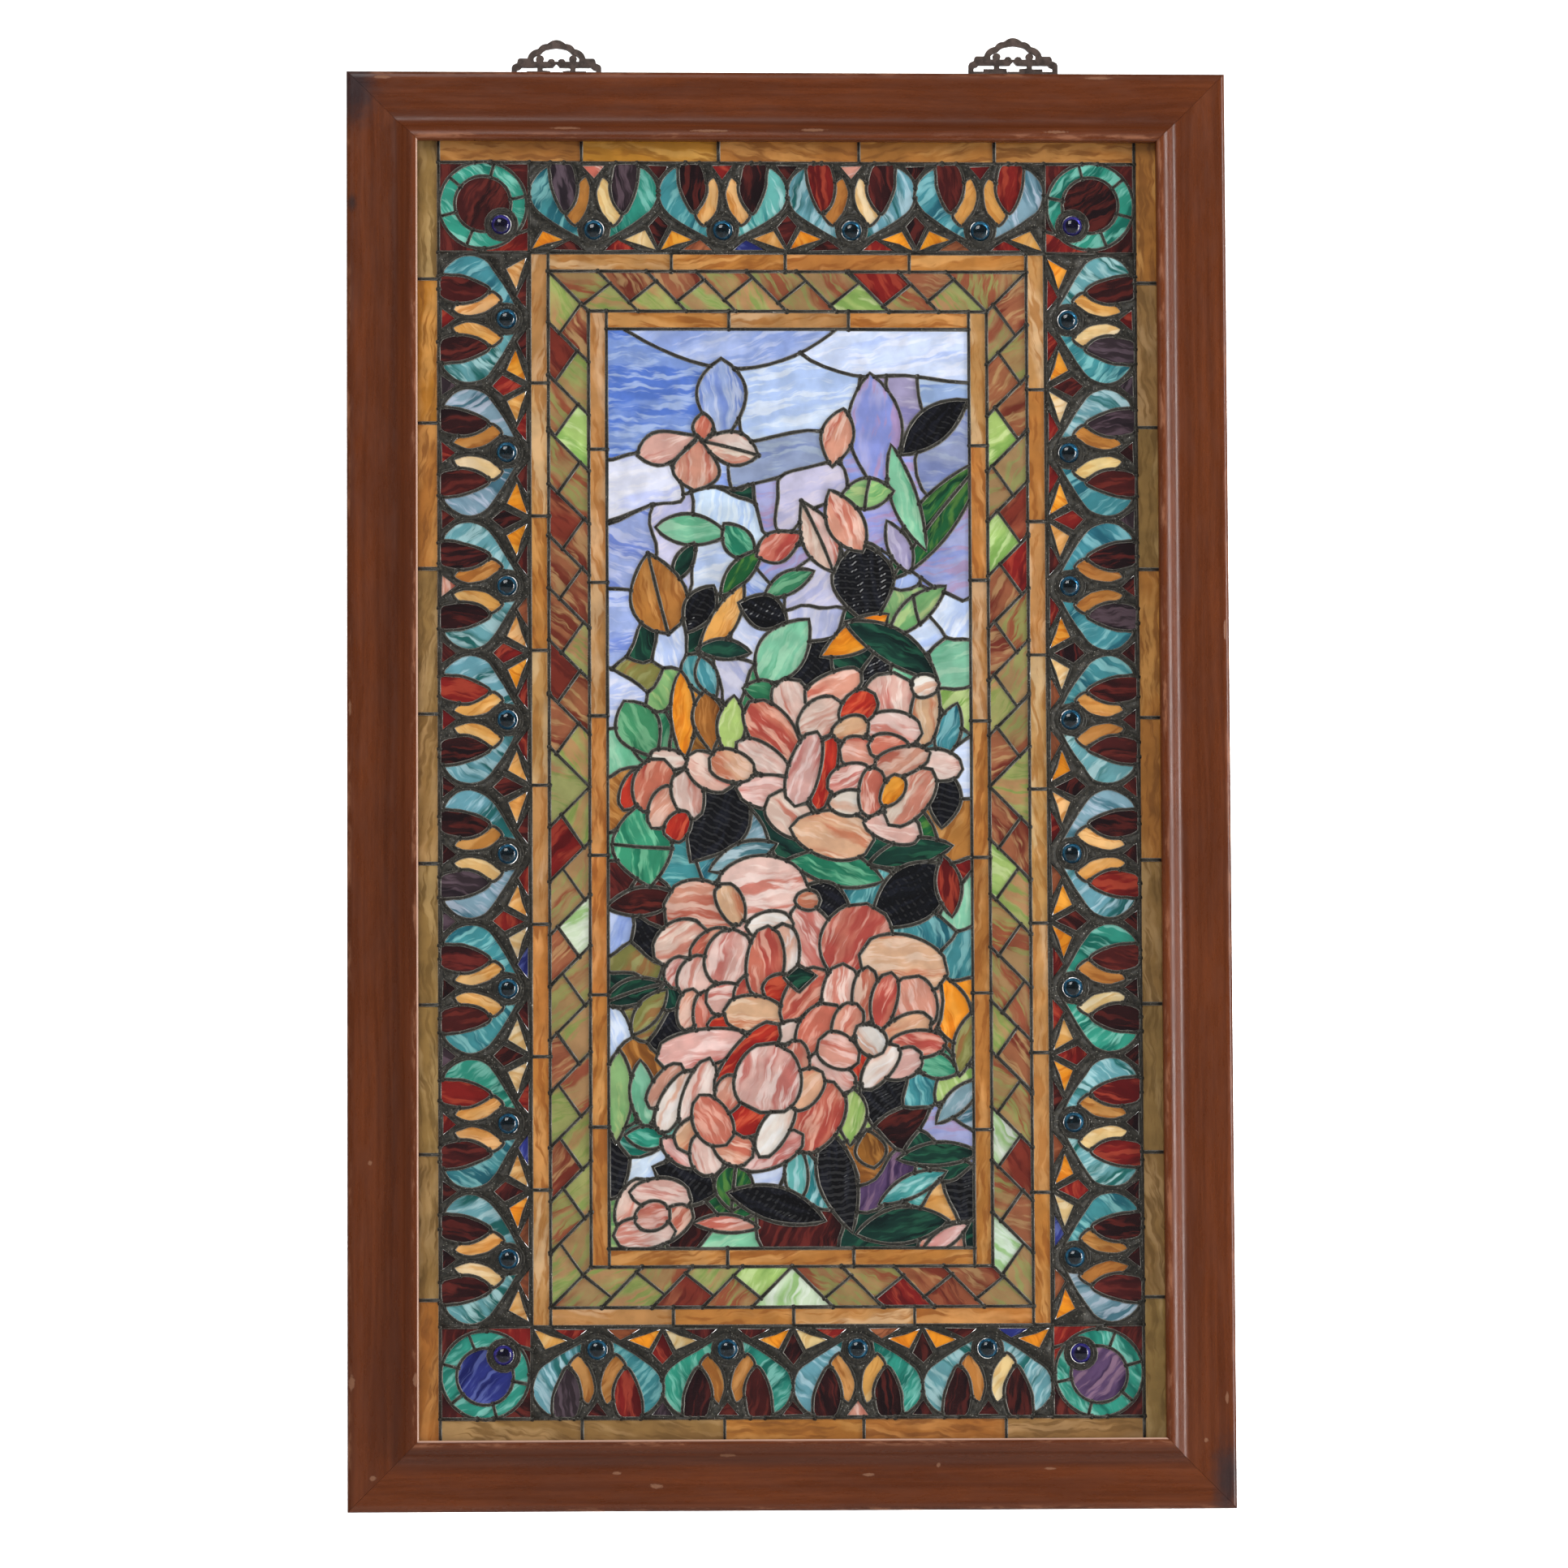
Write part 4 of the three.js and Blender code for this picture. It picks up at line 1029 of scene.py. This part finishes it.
class Paint:
    """A short way to lay out the nodes of one material. Noise scales are per millimetre."""

    def __init__(self, name):
        self.material = bpy.data.materials.new(name)
        self.material.use_nodes = True
        self.tree = self.material.node_tree
        self.shader = self.tree.nodes["Principled BSDF"]

    def node(self, kind, inputs=None, **settings):
        made = self.tree.nodes.new(kind)
        for key, value in settings.items():
            setattr(made, key, value)
        for key, value in (inputs or {}).items():
            self.put(made.inputs[key], value)
        return made

    def put(self, socket, value):
        if isinstance(value, bpy.types.NodeSocket):
            self.tree.links.new(value, socket)
        else:
            socket.default_value = value

    def set(self, **values):
        for key, value in values.items():
            self.put(self.shader.inputs[key.replace("_", " ")], value)

    def maths(self, operation, a, b=0.0, c=0.0):
        return self.node("ShaderNodeMath", {0: a, 1: b, 2: c}, operation=operation).outputs[0]

    def times(self, a, b):
        return self.maths("MULTIPLY", a, b)

    def times_plus(self, a, b, c):
        return self.maths("MULTIPLY_ADD", a, b, c)

    def less(self, a, b):
        return self.maths("SUBTRACT", a, b)

    def attribute(self, name, output="Fac"):
        return self.node("ShaderNodeAttribute", attribute_name=name).outputs[output]

    def split(self, vector):
        return self.node("ShaderNodeSeparateXYZ", {0: vector}).outputs

    def join(self, x=0.0, y=0.0, z=0.0):
        return self.node("ShaderNodeCombineXYZ", {0: x, 1: y, 2: z}).outputs[0]

    def noise(self, vector, scale, detail=3.0, roughness=0.5, distortion=0.0):
        return self.node("ShaderNodeTexNoise", {
            "Vector": vector, "Scale": scale, "Detail": detail, "Roughness": roughness,
            "Distortion": distortion,
        }).outputs[0]

    def between(self, value, low, high, first=0.0, last=1.0):
        return self.node("ShaderNodeMapRange", {0: value, 1: low, 2: high, 3: first, 4: last},
                         interpolation_type="SMOOTHSTEP").outputs[0]

    def mix(self, share, a, b, blend="MIX"):
        made = self.node("ShaderNodeMix", data_type="RGBA", blend_type=blend, clamp_factor=True)
        self.put(made.inputs[0], share)
        for socket, value in ((made.inputs[6], a), (made.inputs[7], b)):
            plain = isinstance(value, (list, tuple)) and len(value) == 3
            self.put(socket, (*value, 1) if plain else value)
        return made.outputs[2]

    def bump(self, height, strength, distance):
        return self.node("ShaderNodeBump", {"Height": height, "Strength": strength,
                                            "Distance": distance}).outputs[0]

    def millimetres(self):
        position = self.node("ShaderNodeNewGeometry").outputs["Position"]
        return self.node("ShaderNodeVectorMath", {0: position, 3: MM}, operation="SCALE").outputs[0]


def glass_paint():
    """Streaky opalescent glass, with a hammered ripple where a piece asks for it."""
    paint = Paint("opalescent_glass")
    turn, seed, ripple = paint.split(paint.attribute("flow", "Vector"))
    x, _, z = paint.split(paint.millimetres())
    cos, sin = paint.maths("COSINE", turn), paint.maths("SINE", turn)
    along = paint.times_plus(x, cos, paint.times(z, sin))
    across = paint.less(paint.times(z, cos), paint.times(x, sin))
    lift = paint.times(seed, 37.0)
    wave = paint.noise(paint.join(x, z, lift), 0.05, 2.0)
    bent = paint.times_plus(wave, 12.0, across)
    streaks = paint.join(paint.times(along, 0.16), bent, lift)
    broad = paint.noise(streaks, 0.075, 3.0, 0.5, 0.2)
    fine = paint.noise(streaks, 0.2, 3.0, 0.55, 0.2)
    cloud = paint.noise(paint.join(x, z, lift), 0.06, 3.0)
    body = paint.attribute("body", "Color")
    colour = paint.mix(paint.between(broad, 0.46, 0.6), body, paint.attribute("streak", "Color"))
    share = paint.times(paint.between(fine, 0.48, 0.62), 0.85)
    colour = paint.mix(share, colour, paint.attribute("accent", "Color"))
    shade = paint.between(cloud, 0.3, 0.7, 0.86, 1.12)
    colour = paint.mix(1.0, colour, paint.join(shade, shade, shade), "MULTIPLY")
    rolled = paint.noise(paint.join(x, z, lift), 0.16, 2.0)
    ridges = paint.node("ShaderNodeTexWave", {
        "Vector": paint.join(paint.times(along, 0.35), across, lift),
        "Scale": 0.17, "Distortion": 5.0, "Detail": 2.0, "Detail Scale": 0.6,
        "Detail Roughness": 0.5,
    }, wave_profile="SIN").outputs[1]
    height = paint.times_plus(paint.times(ridges, ripple), 2.0, paint.times(rolled, 0.6))
    paint.set(Base_Color=colour, Roughness=paint.between(fine, 0.3, 0.7, 0.10, 0.22),
              Normal=paint.bump(height, 0.5, 0.0004))
    paint.set(IOR=1.5)
    return paint.material


def solder_paint():
    """Blackened solder with pale oxide and rubbed metal along its edges."""
    paint = Paint("patinated_solder")
    place = paint.millimetres()
    rim = paint.attribute("rim")
    lumps = paint.noise(place, 0.35, 4.0, 0.6)
    grain = paint.noise(place, 1.7, 3.0, 0.6)
    colour = paint.mix(paint.between(lumps, 0.35, 0.65), linear((38, 37, 34)), linear((60, 57, 50)))
    oxide = paint.times(paint.between(rim, 0.5, 0.9), paint.between(grain, 0.38, 0.54))
    colour = paint.mix(paint.times(oxide, 0.85), colour, linear((188, 184, 174)))
    specks = paint.between(paint.noise(place, 0.9, 2.0), 0.66, 0.72)
    colour = paint.mix(specks, colour, linear((150, 146, 136)))
    height = paint.times_plus(grain, 0.35, lumps)
    paint.set(Base_Color=colour, Metallic=0.55, Roughness=paint.between(lumps, 0.3, 0.7, 0.34, 0.6),
              Normal=paint.bump(height, 0.7, 0.0006))
    return paint.material


# Marks on the frame: x, z, reach across and up, and for a stain its colour.
STAINS = [
    (-330, 535, 14, 22, (44, 38, 42)),
    (330, -528, 9, 26, (50, 42, 44)),
    (-333, 448, 3, 5, (52, 36, 34)),
]
CHIPS = [
    (-334, -452, 2.2, 5), (-286, -450, 1.6, 5), (-318, -524, 2.4, 2), (-104, -531, 4.5, 1.6),
    (-134, -521, 3, 1.2), (-50, -508, 6, 1.1), (57, -523, 4.5, 1.0), (110, -516, 1.6, 1.6),
    (195, -519, 4, 0.9), (330, -466, 1.2, 4), (314, -498, 1.6, 1.6), (-320, -286, 1.4, 1.8),
    (20, 504, 9, 1.2), (-60, 503, 14, 1.0), (-170, 505, 11, 1.0), (206, 503, 8, 1.1),
    (334, 120, 1.0, 7), (-335, 60, 1.0, 6), (-310, 545, 6, 1.2), (240, 546, 9, 1.0),
]


def wood_paint():
    """Stained hardwood under satin lacquer, worn along its edges and bruised in places; painted
    shade in the scoop's hollow, painted highlight on the lower and left sight edge.
    """
    paint = Paint("stained_wood")
    along, inset, depth = paint.split(paint.attribute("grain", "Vector"))
    waver = paint.noise(paint.join(paint.times(along, 0.2), inset, depth), 0.03, 2.0)
    across = paint.times_plus(waver, 9.0, inset)
    fibres = paint.join(paint.times(along, 0.035), across, depth)
    figure = paint.noise(fibres, 0.16, 4.0, 0.6, 0.4)
    pores = paint.noise(paint.join(paint.times(along, 0.06), across, depth), 1.9, 2.0, 0.6)
    blotches = paint.noise(paint.join(along, inset, depth), 0.012, 3.0)
    colour = paint.mix(paint.between(figure, 0.3, 0.7), linear((92, 43, 17)), linear((112, 56, 27)))
    colour = paint.mix(paint.between(pores, 0.52, 0.68, 0, 0.25), colour, linear((70, 31, 14)))
    colour = paint.mix(paint.between(blotches, 0.4, 0.66, 0, 0.3), colour, linear((84, 41, 22)))
    scuffs = paint.noise(paint.join(paint.times(along, 0.25), inset, depth), 0.11, 5.0, 0.7)
    rounded = paint.less(1.0, paint.between(inset, 0.8, 4.5))
    from_crest = paint.maths("ABSOLUTE", paint.less(inset, 51.0))
    crest = paint.less(1.0, paint.between(from_crest, 0.6, 3.4))
    edge = paint.maths("MAXIMUM", rounded, crest)
    worn = paint.times(edge, paint.between(scuffs, 0.5, 0.66, 0, 0.5))
    colour = paint.mix(worn, colour, linear((176, 118, 86)))
    # Painted highlight: a pale line along the sight edge of the left stile and bottom rail, where
    # the rounded bead edge would catch the light.
    lower_left = paint.times(paint.between(along, 440, 460), paint.between(along, 2990, 3010, 1, 0))
    sight_edge_painted_highlight = paint.times(lower_left, paint.between(inset, 52.4, 53.2, 0, 0.85))
    colour = paint.mix(sight_edge_painted_highlight, colour, linear((214, 172, 150)))
    # Painted shade: darker along the hollow where the scooped band turns up into the bead.
    from_hollow = paint.maths("ABSOLUTE", paint.less(inset, 36.5))
    hollow_painted_shade = paint.less(1.0, paint.between(from_hollow, 0.5, 6.0))
    colour = paint.mix(paint.times(hollow_painted_shade, 0.35), colour, linear((70, 31, 15)))
    x, _, z = paint.split(paint.millimetres())
    ragged = paint.noise(paint.millimetres(), 0.09, 4.0, 0.65)
    sharp = paint.noise(paint.millimetres(), 0.5, 3.0, 0.6)
    for sx, sz, wide, high, stain in STAINS:
        share = spot(paint, x, z, sx, MID_Z + sz, wide, high, ragged, 1.6)
        colour = paint.mix(paint.times(share, 0.85), colour, linear(stain))
    bare = 0.0
    for sx, sz, wide, high in CHIPS:
        chip = spot(paint, x, z, sx, MID_Z + sz, wide, high, sharp, 0.5)
        bare = paint.maths("MAXIMUM", bare, chip)
    colour = paint.mix(paint.times(bare, 0.45), colour, linear((168, 122, 92)))
    height = paint.times_plus(pores, -0.35, paint.times(bare, -1.2))
    rough = paint.maths("ADD", paint.between(scuffs, 0.35, 0.7, 0.24, 0.42), paint.times(bare, 0.3))
    paint.set(Base_Color=colour, Roughness=rough, Normal=paint.bump(height, 0.35, 0.0005))
    paint.set(Specular_IOR_Level=0.3, Coat_Weight=0.04, Coat_Roughness=0.2)
    return paint.material


def spot(paint, x, z, sx, sz, wide, high, ragged, softness):
    """An oval mark with a ragged edge."""
    dx = paint.maths("DIVIDE", paint.less(x, sx), wide)
    dz = paint.maths("DIVIDE", paint.less(z, sz), high)
    far = paint.maths("SQRT", paint.times_plus(dx, dx, paint.times(dz, dz)))
    far = paint.times_plus(ragged, 1.4, paint.less(far, 0.7))
    return paint.between(far, 1.0 - softness / 2, 1.0 + softness / 2, 1.0, 0.0)


def hanger_paint():
    """Brown patina over cast brass, gritty and a little paler where it is rubbed."""
    paint = Paint("patinated_brass")
    place = paint.millimetres()
    cloud = paint.noise(place, 0.18, 4.0, 0.6)
    grit = paint.noise(place, 1.4, 3.0, 0.6)
    colour = paint.mix(paint.between(cloud, 0.35, 0.65), linear((66, 54, 49)), linear((96, 80, 73)))
    colour = paint.mix(paint.between(grit, 0.6, 0.72, 0, 0.6), colour, linear((130, 112, 98)))
    paint.set(Base_Color=colour, Metallic=0.3, Roughness=paint.between(cloud, 0.3, 0.7, 0.42, 0.62),
              Normal=paint.bump(grit, 0.5, 0.0003))
    return paint.material


def jewel_paint(name, colour, deep):
    """Clear pressed glass, a little cloudy inside."""
    paint = Paint(name)
    cloud = paint.noise(paint.millimetres(), 0.3, 2.0)
    tint = paint.mix(paint.between(cloud, 0.3, 0.7), linear(colour), linear(deep))
    paint.set(Base_Color=tint, Normal=paint.bump(cloud, 0.15, 0.0005))
    paint.set(Roughness=0.02, IOR=1.5, Transmission_Weight=1.0)
    return paint.material


def stage_paint():
    """Matt white paper."""
    paint = Paint("white_paper")
    soft = paint.noise(paint.millimetres(), 0.002, 2.0)
    colour = paint.mix(soft, (0.9, 0.9, 0.9), (0.92, 0.92, 0.92))
    paint.set(Base_Color=colour, Roughness=0.9)
    return paint.material


# ---------------------------------------------------------------- the frame and its hangers

# The rail's section as depth and inset: the rounded edge, the scooped band and the inner bead.
ROUND_EDGE = [(21.5, 0.0), (23.4, 0.45), (24.8, 1.5), (25.6, 3.0), (26.0, 5.0)]
SCOOP = [(26.0, 5.0), (25.8, 10), (25.5, 16), (25.15, 23), (24.85, 30), (24.8, 34.5), (25.2, 37.2),
         (26.4, 39.8), (28.3, 42.0), (30.6, 44.0), (32.4, 46.3), (33.5, 48.6), (33.96, 50.6),
         (33.8, 52.2), (33.1, 53.4), (32.0, 54.0)]

# Half the gap between two rails at the front of a mitre. It closes further back.
MITRE_GAP = 0.12
# The room left round the panel in its groove.
FIT = 0.3
RAIL_STEPS = 24
RAIL_NAMES = {"top": "top_rail", "bottom": "bottom_rail", "left": "left_stile",
              "right": "right_stile"}


def rail_section():
    """The whole section: its face, the groove that holds the panel, and the back."""
    edge = smooth_curve(ROUND_EDGE, 3, False)
    face = smooth_curve(SCOOP, 3, False)
    bed = RAIL - (PANEL[0] - SIGHT[0] + FIT)
    groove = [(NET_FRONT + FIT, RAIL), (NET_FRONT + FIT, bed), (NET_BACK - FIT, bed),
              (NET_BACK - FIT, RAIL)]
    back = [(0.5, RAIL), (0.0, RAIL - 0.5), (0.0, 0.5), (0.5, 0.0)]
    return edge[:-1] + face + groove + back


def build_rail(side, material):
    outer = (HALF_W, HALF_H)
    section = rail_section()
    half = half_length(side, outer)
    steps = RAIL_STEPS
    vertices, faces = [], []
    for i in range(steps + 1):
        for depth, inset in section:
            reach = half - inset - (MITRE_GAP if depth > NET_FRONT + 1 else 0)
            u = -reach + 2 * reach * i / steps
            x, z = on_side(side, outer, u, inset)
            vertices.append(world(x, z, depth))
    n = len(section)
    for i in range(steps):
        for k in range(n):
            m = (k + 1) % n
            faces.append((i * n + k, i * n + m, (i + 1) * n + m, (i + 1) * n + k))
    faces.append(tuple(reversed(range(n))))
    faces.append(tuple(steps * n + k for k in range(n)))
    name = RAIL_NAMES[side]
    rail = make_object("wood_" + name, vertices, faces, material)
    fix_normals(rail)
    if side == "top":
        cut_recesses(rail)
    sharpen(rail)
    grain = []
    for v in rail.data.vertices:
        x, z, depth = v.co.x * MM, v.co.z * MM - MID_Z, -v.co.y * MM
        along, inset = {
            "top": (x, outer[1] - z), "bottom": (x + 900, z + outer[1]),
            "left": (z + 2000, x + outer[0]), "right": (z + 4000, outer[0] - x),
        }[side]
        grain.append((along, inset, depth))
    set_attribute(rail, "grain", "FLOAT_VECTOR", "POINT", grain)
    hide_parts("frame_" + name)
    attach(rail, "root")
    return rail


# In metres: the room left round a hanger's plate, and how far the cutter passes the rail.
RECESS_GAP, OVERSHOOT = 0.0003, 0.002


def cut_recesses(rail):
    """Lets the hanger plates into the rail's back."""
    top = TOP[2] / MM + OVERSHOOT
    for node in ("hanger_left", "hanger_right"):
        low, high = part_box(node)
        bpy.ops.mesh.primitive_cube_add(size=1)
        cutter = bpy.context.object
        cutter.scale = (high.x - low.x + 2 * RECESS_GAP, high.y - low.y + RECESS_GAP + OVERSHOOT,
                        top - low.z + RECESS_GAP)
        cutter.location = ((low.x + high.x) / 2, (low.y - RECESS_GAP + high.y + OVERSHOOT) / 2,
                           (top + low.z - RECESS_GAP) / 2)
        bpy.context.view_layer.update()
        cut = rail.modifiers.new("recess", "BOOLEAN")
        cut.object = cutter
        cut.solver = "EXACT"
        bpy.context.view_layer.objects.active = rail
        with bpy.context.temp_override(object=rail, active_object=rail):
            bpy.ops.object.modifier_apply(modifier=cut.name)
        bpy.data.objects.remove(cutter)


def scallop(start, end, bulge, steps=8):
    """A shallow arc from one notch to the next, without its end."""
    (x0, z0), (x1, z1) = start, end
    length = math.hypot(x1 - x0, z1 - z0)
    found = []
    for k in range(steps):
        t = k / steps
        lift = 4 * t * (1 - t) * bulge
        found.append((x0 + (x1 - x0) * t - lift * (z1 - z0) / length,
                      z0 + (z1 - z0) * t + lift * (x1 - x0) / length))
    return found


def mirrored(points):
    return [(-x, z) for x, z in reversed(points)]


# The casting's shapes, across from its middle line and up. hanger_plan sets a height z at
# HANGER_RAISE + HANGER_SHARE * z over a line that lies HANGER_BELOW over the plate's foot.
HANGER_RAISE, HANGER_SHARE, HANGER_BELOW = 1.6, 0.93, 26.0
PLATE_FOOT, PLATE_SIDE = -29.7, 5.2
SHOULDER = [(0.8, 7.1), (3, 8.4)]
HIPS = [(-30.4, 8.7), (-29.8, 11.6), (-28.6, 12.8)]
NOTCHES = [(-22.4, 12.8), (-14, 20.8), (-7, 25), (7, 25), (14, 20.8), (22.4, 12.8)]
BULGES = (1.9, 1.3, 3.3, 1.3, 1.9)
ARCH = [(-17.3, 10.2), (-17.4, 13.2), (-15.6, 14.8), (-12, 16.3), (-9.8, 18.6), (-7.9, 19.9),
        (-3, 21), (0, 21.4)]
SLOT = [(30.5, 0), (22.8, 0), (22.8, 2.1), (14.7, 2.1), (14.7, 5.1), (26.6, 5.1), (28, 3.6),
        (30.5, 2.6)]
STAR = [(0, 8.3), (-2.6, 5.1), (-10.6, 4.9), (-10.6, 2.8), (-4.8, 2.2), (-4.8, 0)]
STALK = [(10.9, 9), (14.4, 9), (14.4, 12), (10.9, 12)]
KNOB, KNOB_RADIUS = (12.7, 12.4), 3.1
CURL = [(1.2, 9), (4.6, 9), (6.9, 10.4), (5.6, 12.2), (3.2, 12.5), (1.4, 11.4)]
HANGER_BEVEL = 0.00045


def hanger_plan(low, high):
    centre, half = (low.x + high.x) / 2 * MM, (high.x - low.x) / 2 * MM
    rail_top = TOP[2] - MID_Z
    lift = (low.z * MM - MID_Z) - rail_top + HANGER_BELOW
    plan = Plan()

    def put(points, kind):
        plan.area([(centre + x, rail_top + lift + HANGER_RAISE + HANGER_SHARE * z)
                   for x, z in points], kind)

    outline = [(-half, PLATE_FOOT), (-half, PLATE_SIDE)]
    outline += [(-half + x, z) for x, z in SHOULDER] + HIPS
    scroll = []
    for start, end, bulge in zip(NOTCHES, NOTCHES[1:], BULGES):
        scroll += scallop(start, end, bulge)
    put(outline + scroll + NOTCHES[-1:] + mirrored(outline), "solder")
    put(ARCH[:-1] + mirrored(ARCH), "none")
    for side in (-1, 1):
        put([(side * x, z) for x, z in SLOT], "none")
    put(STAR + mirrored(STAR[1:]), "none")
    for side in (-1, 1):
        put([(side * x, z) for x, z in STALK], "solder")
        put(circle(side * KNOB[0], KNOB[1], KNOB_RADIUS, 18), "solder")
        put([(side * x, z) for x, z in CURL], "solder")
    plan.solve()
    return plan


def build_hanger(node, material):
    """A cast plate with a cloud scroll above the rail, its front edges rounded."""
    low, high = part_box(node)
    plan = hanger_plan(low, high)
    vertices, faces = [], []
    whole = {"triangles": [t for c in plan.cells for t in c["triangles"]], "middle": (0, 0)}
    add_prism(plan, whole, 0, vertices, faces, 0.0, (high.y - low.y) * MM)
    made = make_object(node + "_casting", vertices, faces, material, smooth=False)
    with editing(made) as work:
        bmesh.ops.remove_doubles(work, verts=work.verts, dist=1e-6)
        rims = [e for e in work.edges if len(e.link_faces) == 2 and e.calc_face_angle() > 1.0
                and abs(e.verts[0].co.y - e.verts[1].co.y) < 1e-6
                and e.verts[0].co.y < low.y + 1e-4]
        bmesh.ops.bevel(work, geom=rims, offset=HANGER_BEVEL, segments=2, profile=0.6,
                        affect="EDGES", clamp_overlap=True)
        bmesh.ops.recalc_face_normals(work, faces=work.faces)
    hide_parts(node)
    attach(made, "root")
    return made


# ---------------------------------------------------------------- the jewels

# Radius and depth from the glass's front, from the domed front over the girdle to the back.
NUGGET = [(0.0, 5.0), (2.2, 4.8), (4.2, 4.2), (5.9, 3.1), (7.1, 1.7), (7.75, 0.2), (7.8, -1.6),
          (7.2, -3.2), (5.2, -3.9), (0.0, -4.0)]
NUGGET_SIDES = 28
# The lump of solder under each nugget: radius and sides.
PUPIL, PUPIL_SIDES = 4.3, 14


def build_jewel(node, material, rng):
    """A nugget turned from its profile. Returns its middle."""
    low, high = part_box(node)
    x, z = (low.x + high.x) / 2 * MM, (low.z + high.z) / 2 * MM - MID_Z
    count = NUGGET_SIDES
    vertices, faces = [], []
    size = rng.uniform(0.97, 1.0)
    for r, depth in NUGGET[1:-1]:
        for k in range(count):
            angle = 2 * math.pi * k / count
            vertices.append(world(x + r * size * math.cos(angle), z + r * size * math.sin(angle),
                                  GLASS_FRONT + depth))
    rows = len(NUGGET) - 2
    for i in range(rows - 1):
        for k in range(count):
            m = (k + 1) % count
            faces.append((i * count + k, i * count + m, (i + 1) * count + m, (i + 1) * count + k))
    front, back = len(vertices), len(vertices) + 1
    vertices += [world(x, z, GLASS_FRONT + NUGGET[end][1]) for end in (0, -1)]
    for k in range(count):
        m = (k + 1) % count
        faces.append((front, m, k))
        faces.append((back, (rows - 1) * count + k, (rows - 1) * count + m))
    made = make_object(node.replace("jewel", "nugget"), vertices, faces, material)
    fix_normals(made)
    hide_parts(node)
    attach(made, "root")
    return (x, z)


# ---------------------------------------------------------------- putting it together


def main():
    rng = random.Random(7)
    wood, brass, solder, glass = wood_paint(), hanger_paint(), solder_paint(), glass_paint()
    for side in SIDES:
        build_rail(side, wood)
    for node in ("hanger_left", "hanger_right"):
        build_hanger(node, brass)
    border, picture = border_plan(rng), picture_plan(rng)
    border.solve()
    picture.solve()
    nodes = frame["nodes"]
    band_nodes = [n for n in nodes if n.rsplit("_", 1)[0] in (
        "outer_strip", "border_glass", "inner_strip", "chevron_glass", "amber_strip")]
    panes, filler = build_glass("glass_borders", border, glass, rng)
    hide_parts(*band_nodes)
    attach(panes, "root")
    beads = build_solder(border, filler, BORDER_SEAM, rng)
    teal = jewel_paint("teal_jewel", (66, 142, 180), (22, 84, 122))
    purple = jewel_paint("purple_jewel", (92, 84, 184), (50, 46, 150))
    for node in sorted(n for n in nodes if n.startswith("jewel_")):
        x, z = build_jewel(node, purple if "corner" in node else teal, rng)
        beads.lump(x, z, PUPIL, PUPIL_SIDES)
    edging = beads.build("solder_borders", solder)
    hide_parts("solder_lattice")
    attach(edging, "root")
    panes, filler = build_glass("glass_picture", picture, glass, rng)
    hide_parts("picture_glass")
    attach(panes, "root")
    leads = build_solder(picture, filler, SEAM, rng).build("solder_picture", solder)
    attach(leads, "root")


# The paper, in metres: how far it runs behind, in front and to the sides, its height, the radius of
# its curve, and the floor's drop under the frame.
PAPER_BACK, PAPER_FRONT, PAPER_SIDE = 8.0, -9.0, 9.0
PAPER_HIGH, PAPER_CURVE, FLOOR_DROP = 5.0, 1.2, 0.35
WORLD_LIGHT = 0.19

# The lights: name, width, height and power, then place and aim from the window's middle.
LIGHTS = [
    ("key", 2.4, 2.4, 128, (-1.4, -3.3, 3.1), (0, 0, 0)),
    ("side_strip", 0.7, 1.9, 62, (2.7, -0.95, 0.1), (0, 0, 0)),
    ("backdrop_wash", 1.2, 3.0, 190, (-2.4, 6.2, 0.2), (0, 8.0, 0)),
    ("backdrop_wash", 1.2, 3.0, 190, (2.4, 6.2, 0.2), (0, 8.0, 0)),
]


def add_light(name, width, height, power, place, aim):
    data = bpy.data.lights.new(name, "AREA")
    data.shape = "RECTANGLE"
    data.size, data.size_y = width, height
    data.energy = power
    made = bpy.data.objects.new(name, data)
    bpy.context.scene.collection.objects.link(made)
    made.location = place
    made.rotation_euler = (aim - place).to_track_quat("-Z", "Y").to_euler()


def light_and_stage():
    centre = world(0, 0, 0)
    low = world(0, -HALF_H, 0).z - FLOOR_DROP
    curve = [(PAPER_FRONT, low)]
    for a in range(13):
        turn = a * math.pi / 24
        curve.append((PAPER_BACK - PAPER_CURVE + PAPER_CURVE * math.sin(turn),
                      low + PAPER_CURVE - PAPER_CURVE * math.cos(turn)))
    curve.append((PAPER_BACK, PAPER_HIGH))
    vertices = [(sx * PAPER_SIDE, y, z) for y, z in curve for sx in (-1, 1)]
    faces = [(2 * i, 2 * i + 1, 2 * i + 3, 2 * i + 2) for i in range(len(curve) - 1)]
    make_object("backdrop", vertices, faces, stage_paint())
    scene = bpy.context.scene
    sky = bpy.data.worlds.new("studio")
    sky.use_nodes = True
    sky.node_tree.nodes["Background"].inputs[0].default_value = (1, 1, 1, 1)
    sky.node_tree.nodes["Background"].inputs[1].default_value = WORLD_LIGHT
    scene.world = sky
    for *light, place, aim in LIGHTS:
        add_light(*light, centre + Vector(place), centre + Vector(aim))
    scene.view_settings.view_transform = "Standard"


# The camera: its lens and sensor in millimetres, its place in the window's plan, and its turns.
LENS, SENSOR, CLIP_END = 196.3, 36, 60
CAMERA_PLACE = (-347.4, -537.0, 6509.0)
CAMERA_TURNS = ((-0.0524, "Z"), (0.0049, "Y"), (0.0828, "X"), (math.pi / 2, "X"))


def add_camera():
    data = bpy.data.cameras.new("camera")
    data.lens = LENS
    data.sensor_width = SENSOR
    data.clip_end = CLIP_END
    made = bpy.data.objects.new("camera", data)
    bpy.context.scene.collection.objects.link(made)
    stand = Matrix.Translation(world(*CAMERA_PLACE))
    for angle, axis in CAMERA_TURNS:
        stand = stand @ Matrix.Rotation(angle, 4, axis)
    made.matrix_world = stand
    bpy.context.scene.camera = made


main()
light_and_stage()
add_camera()
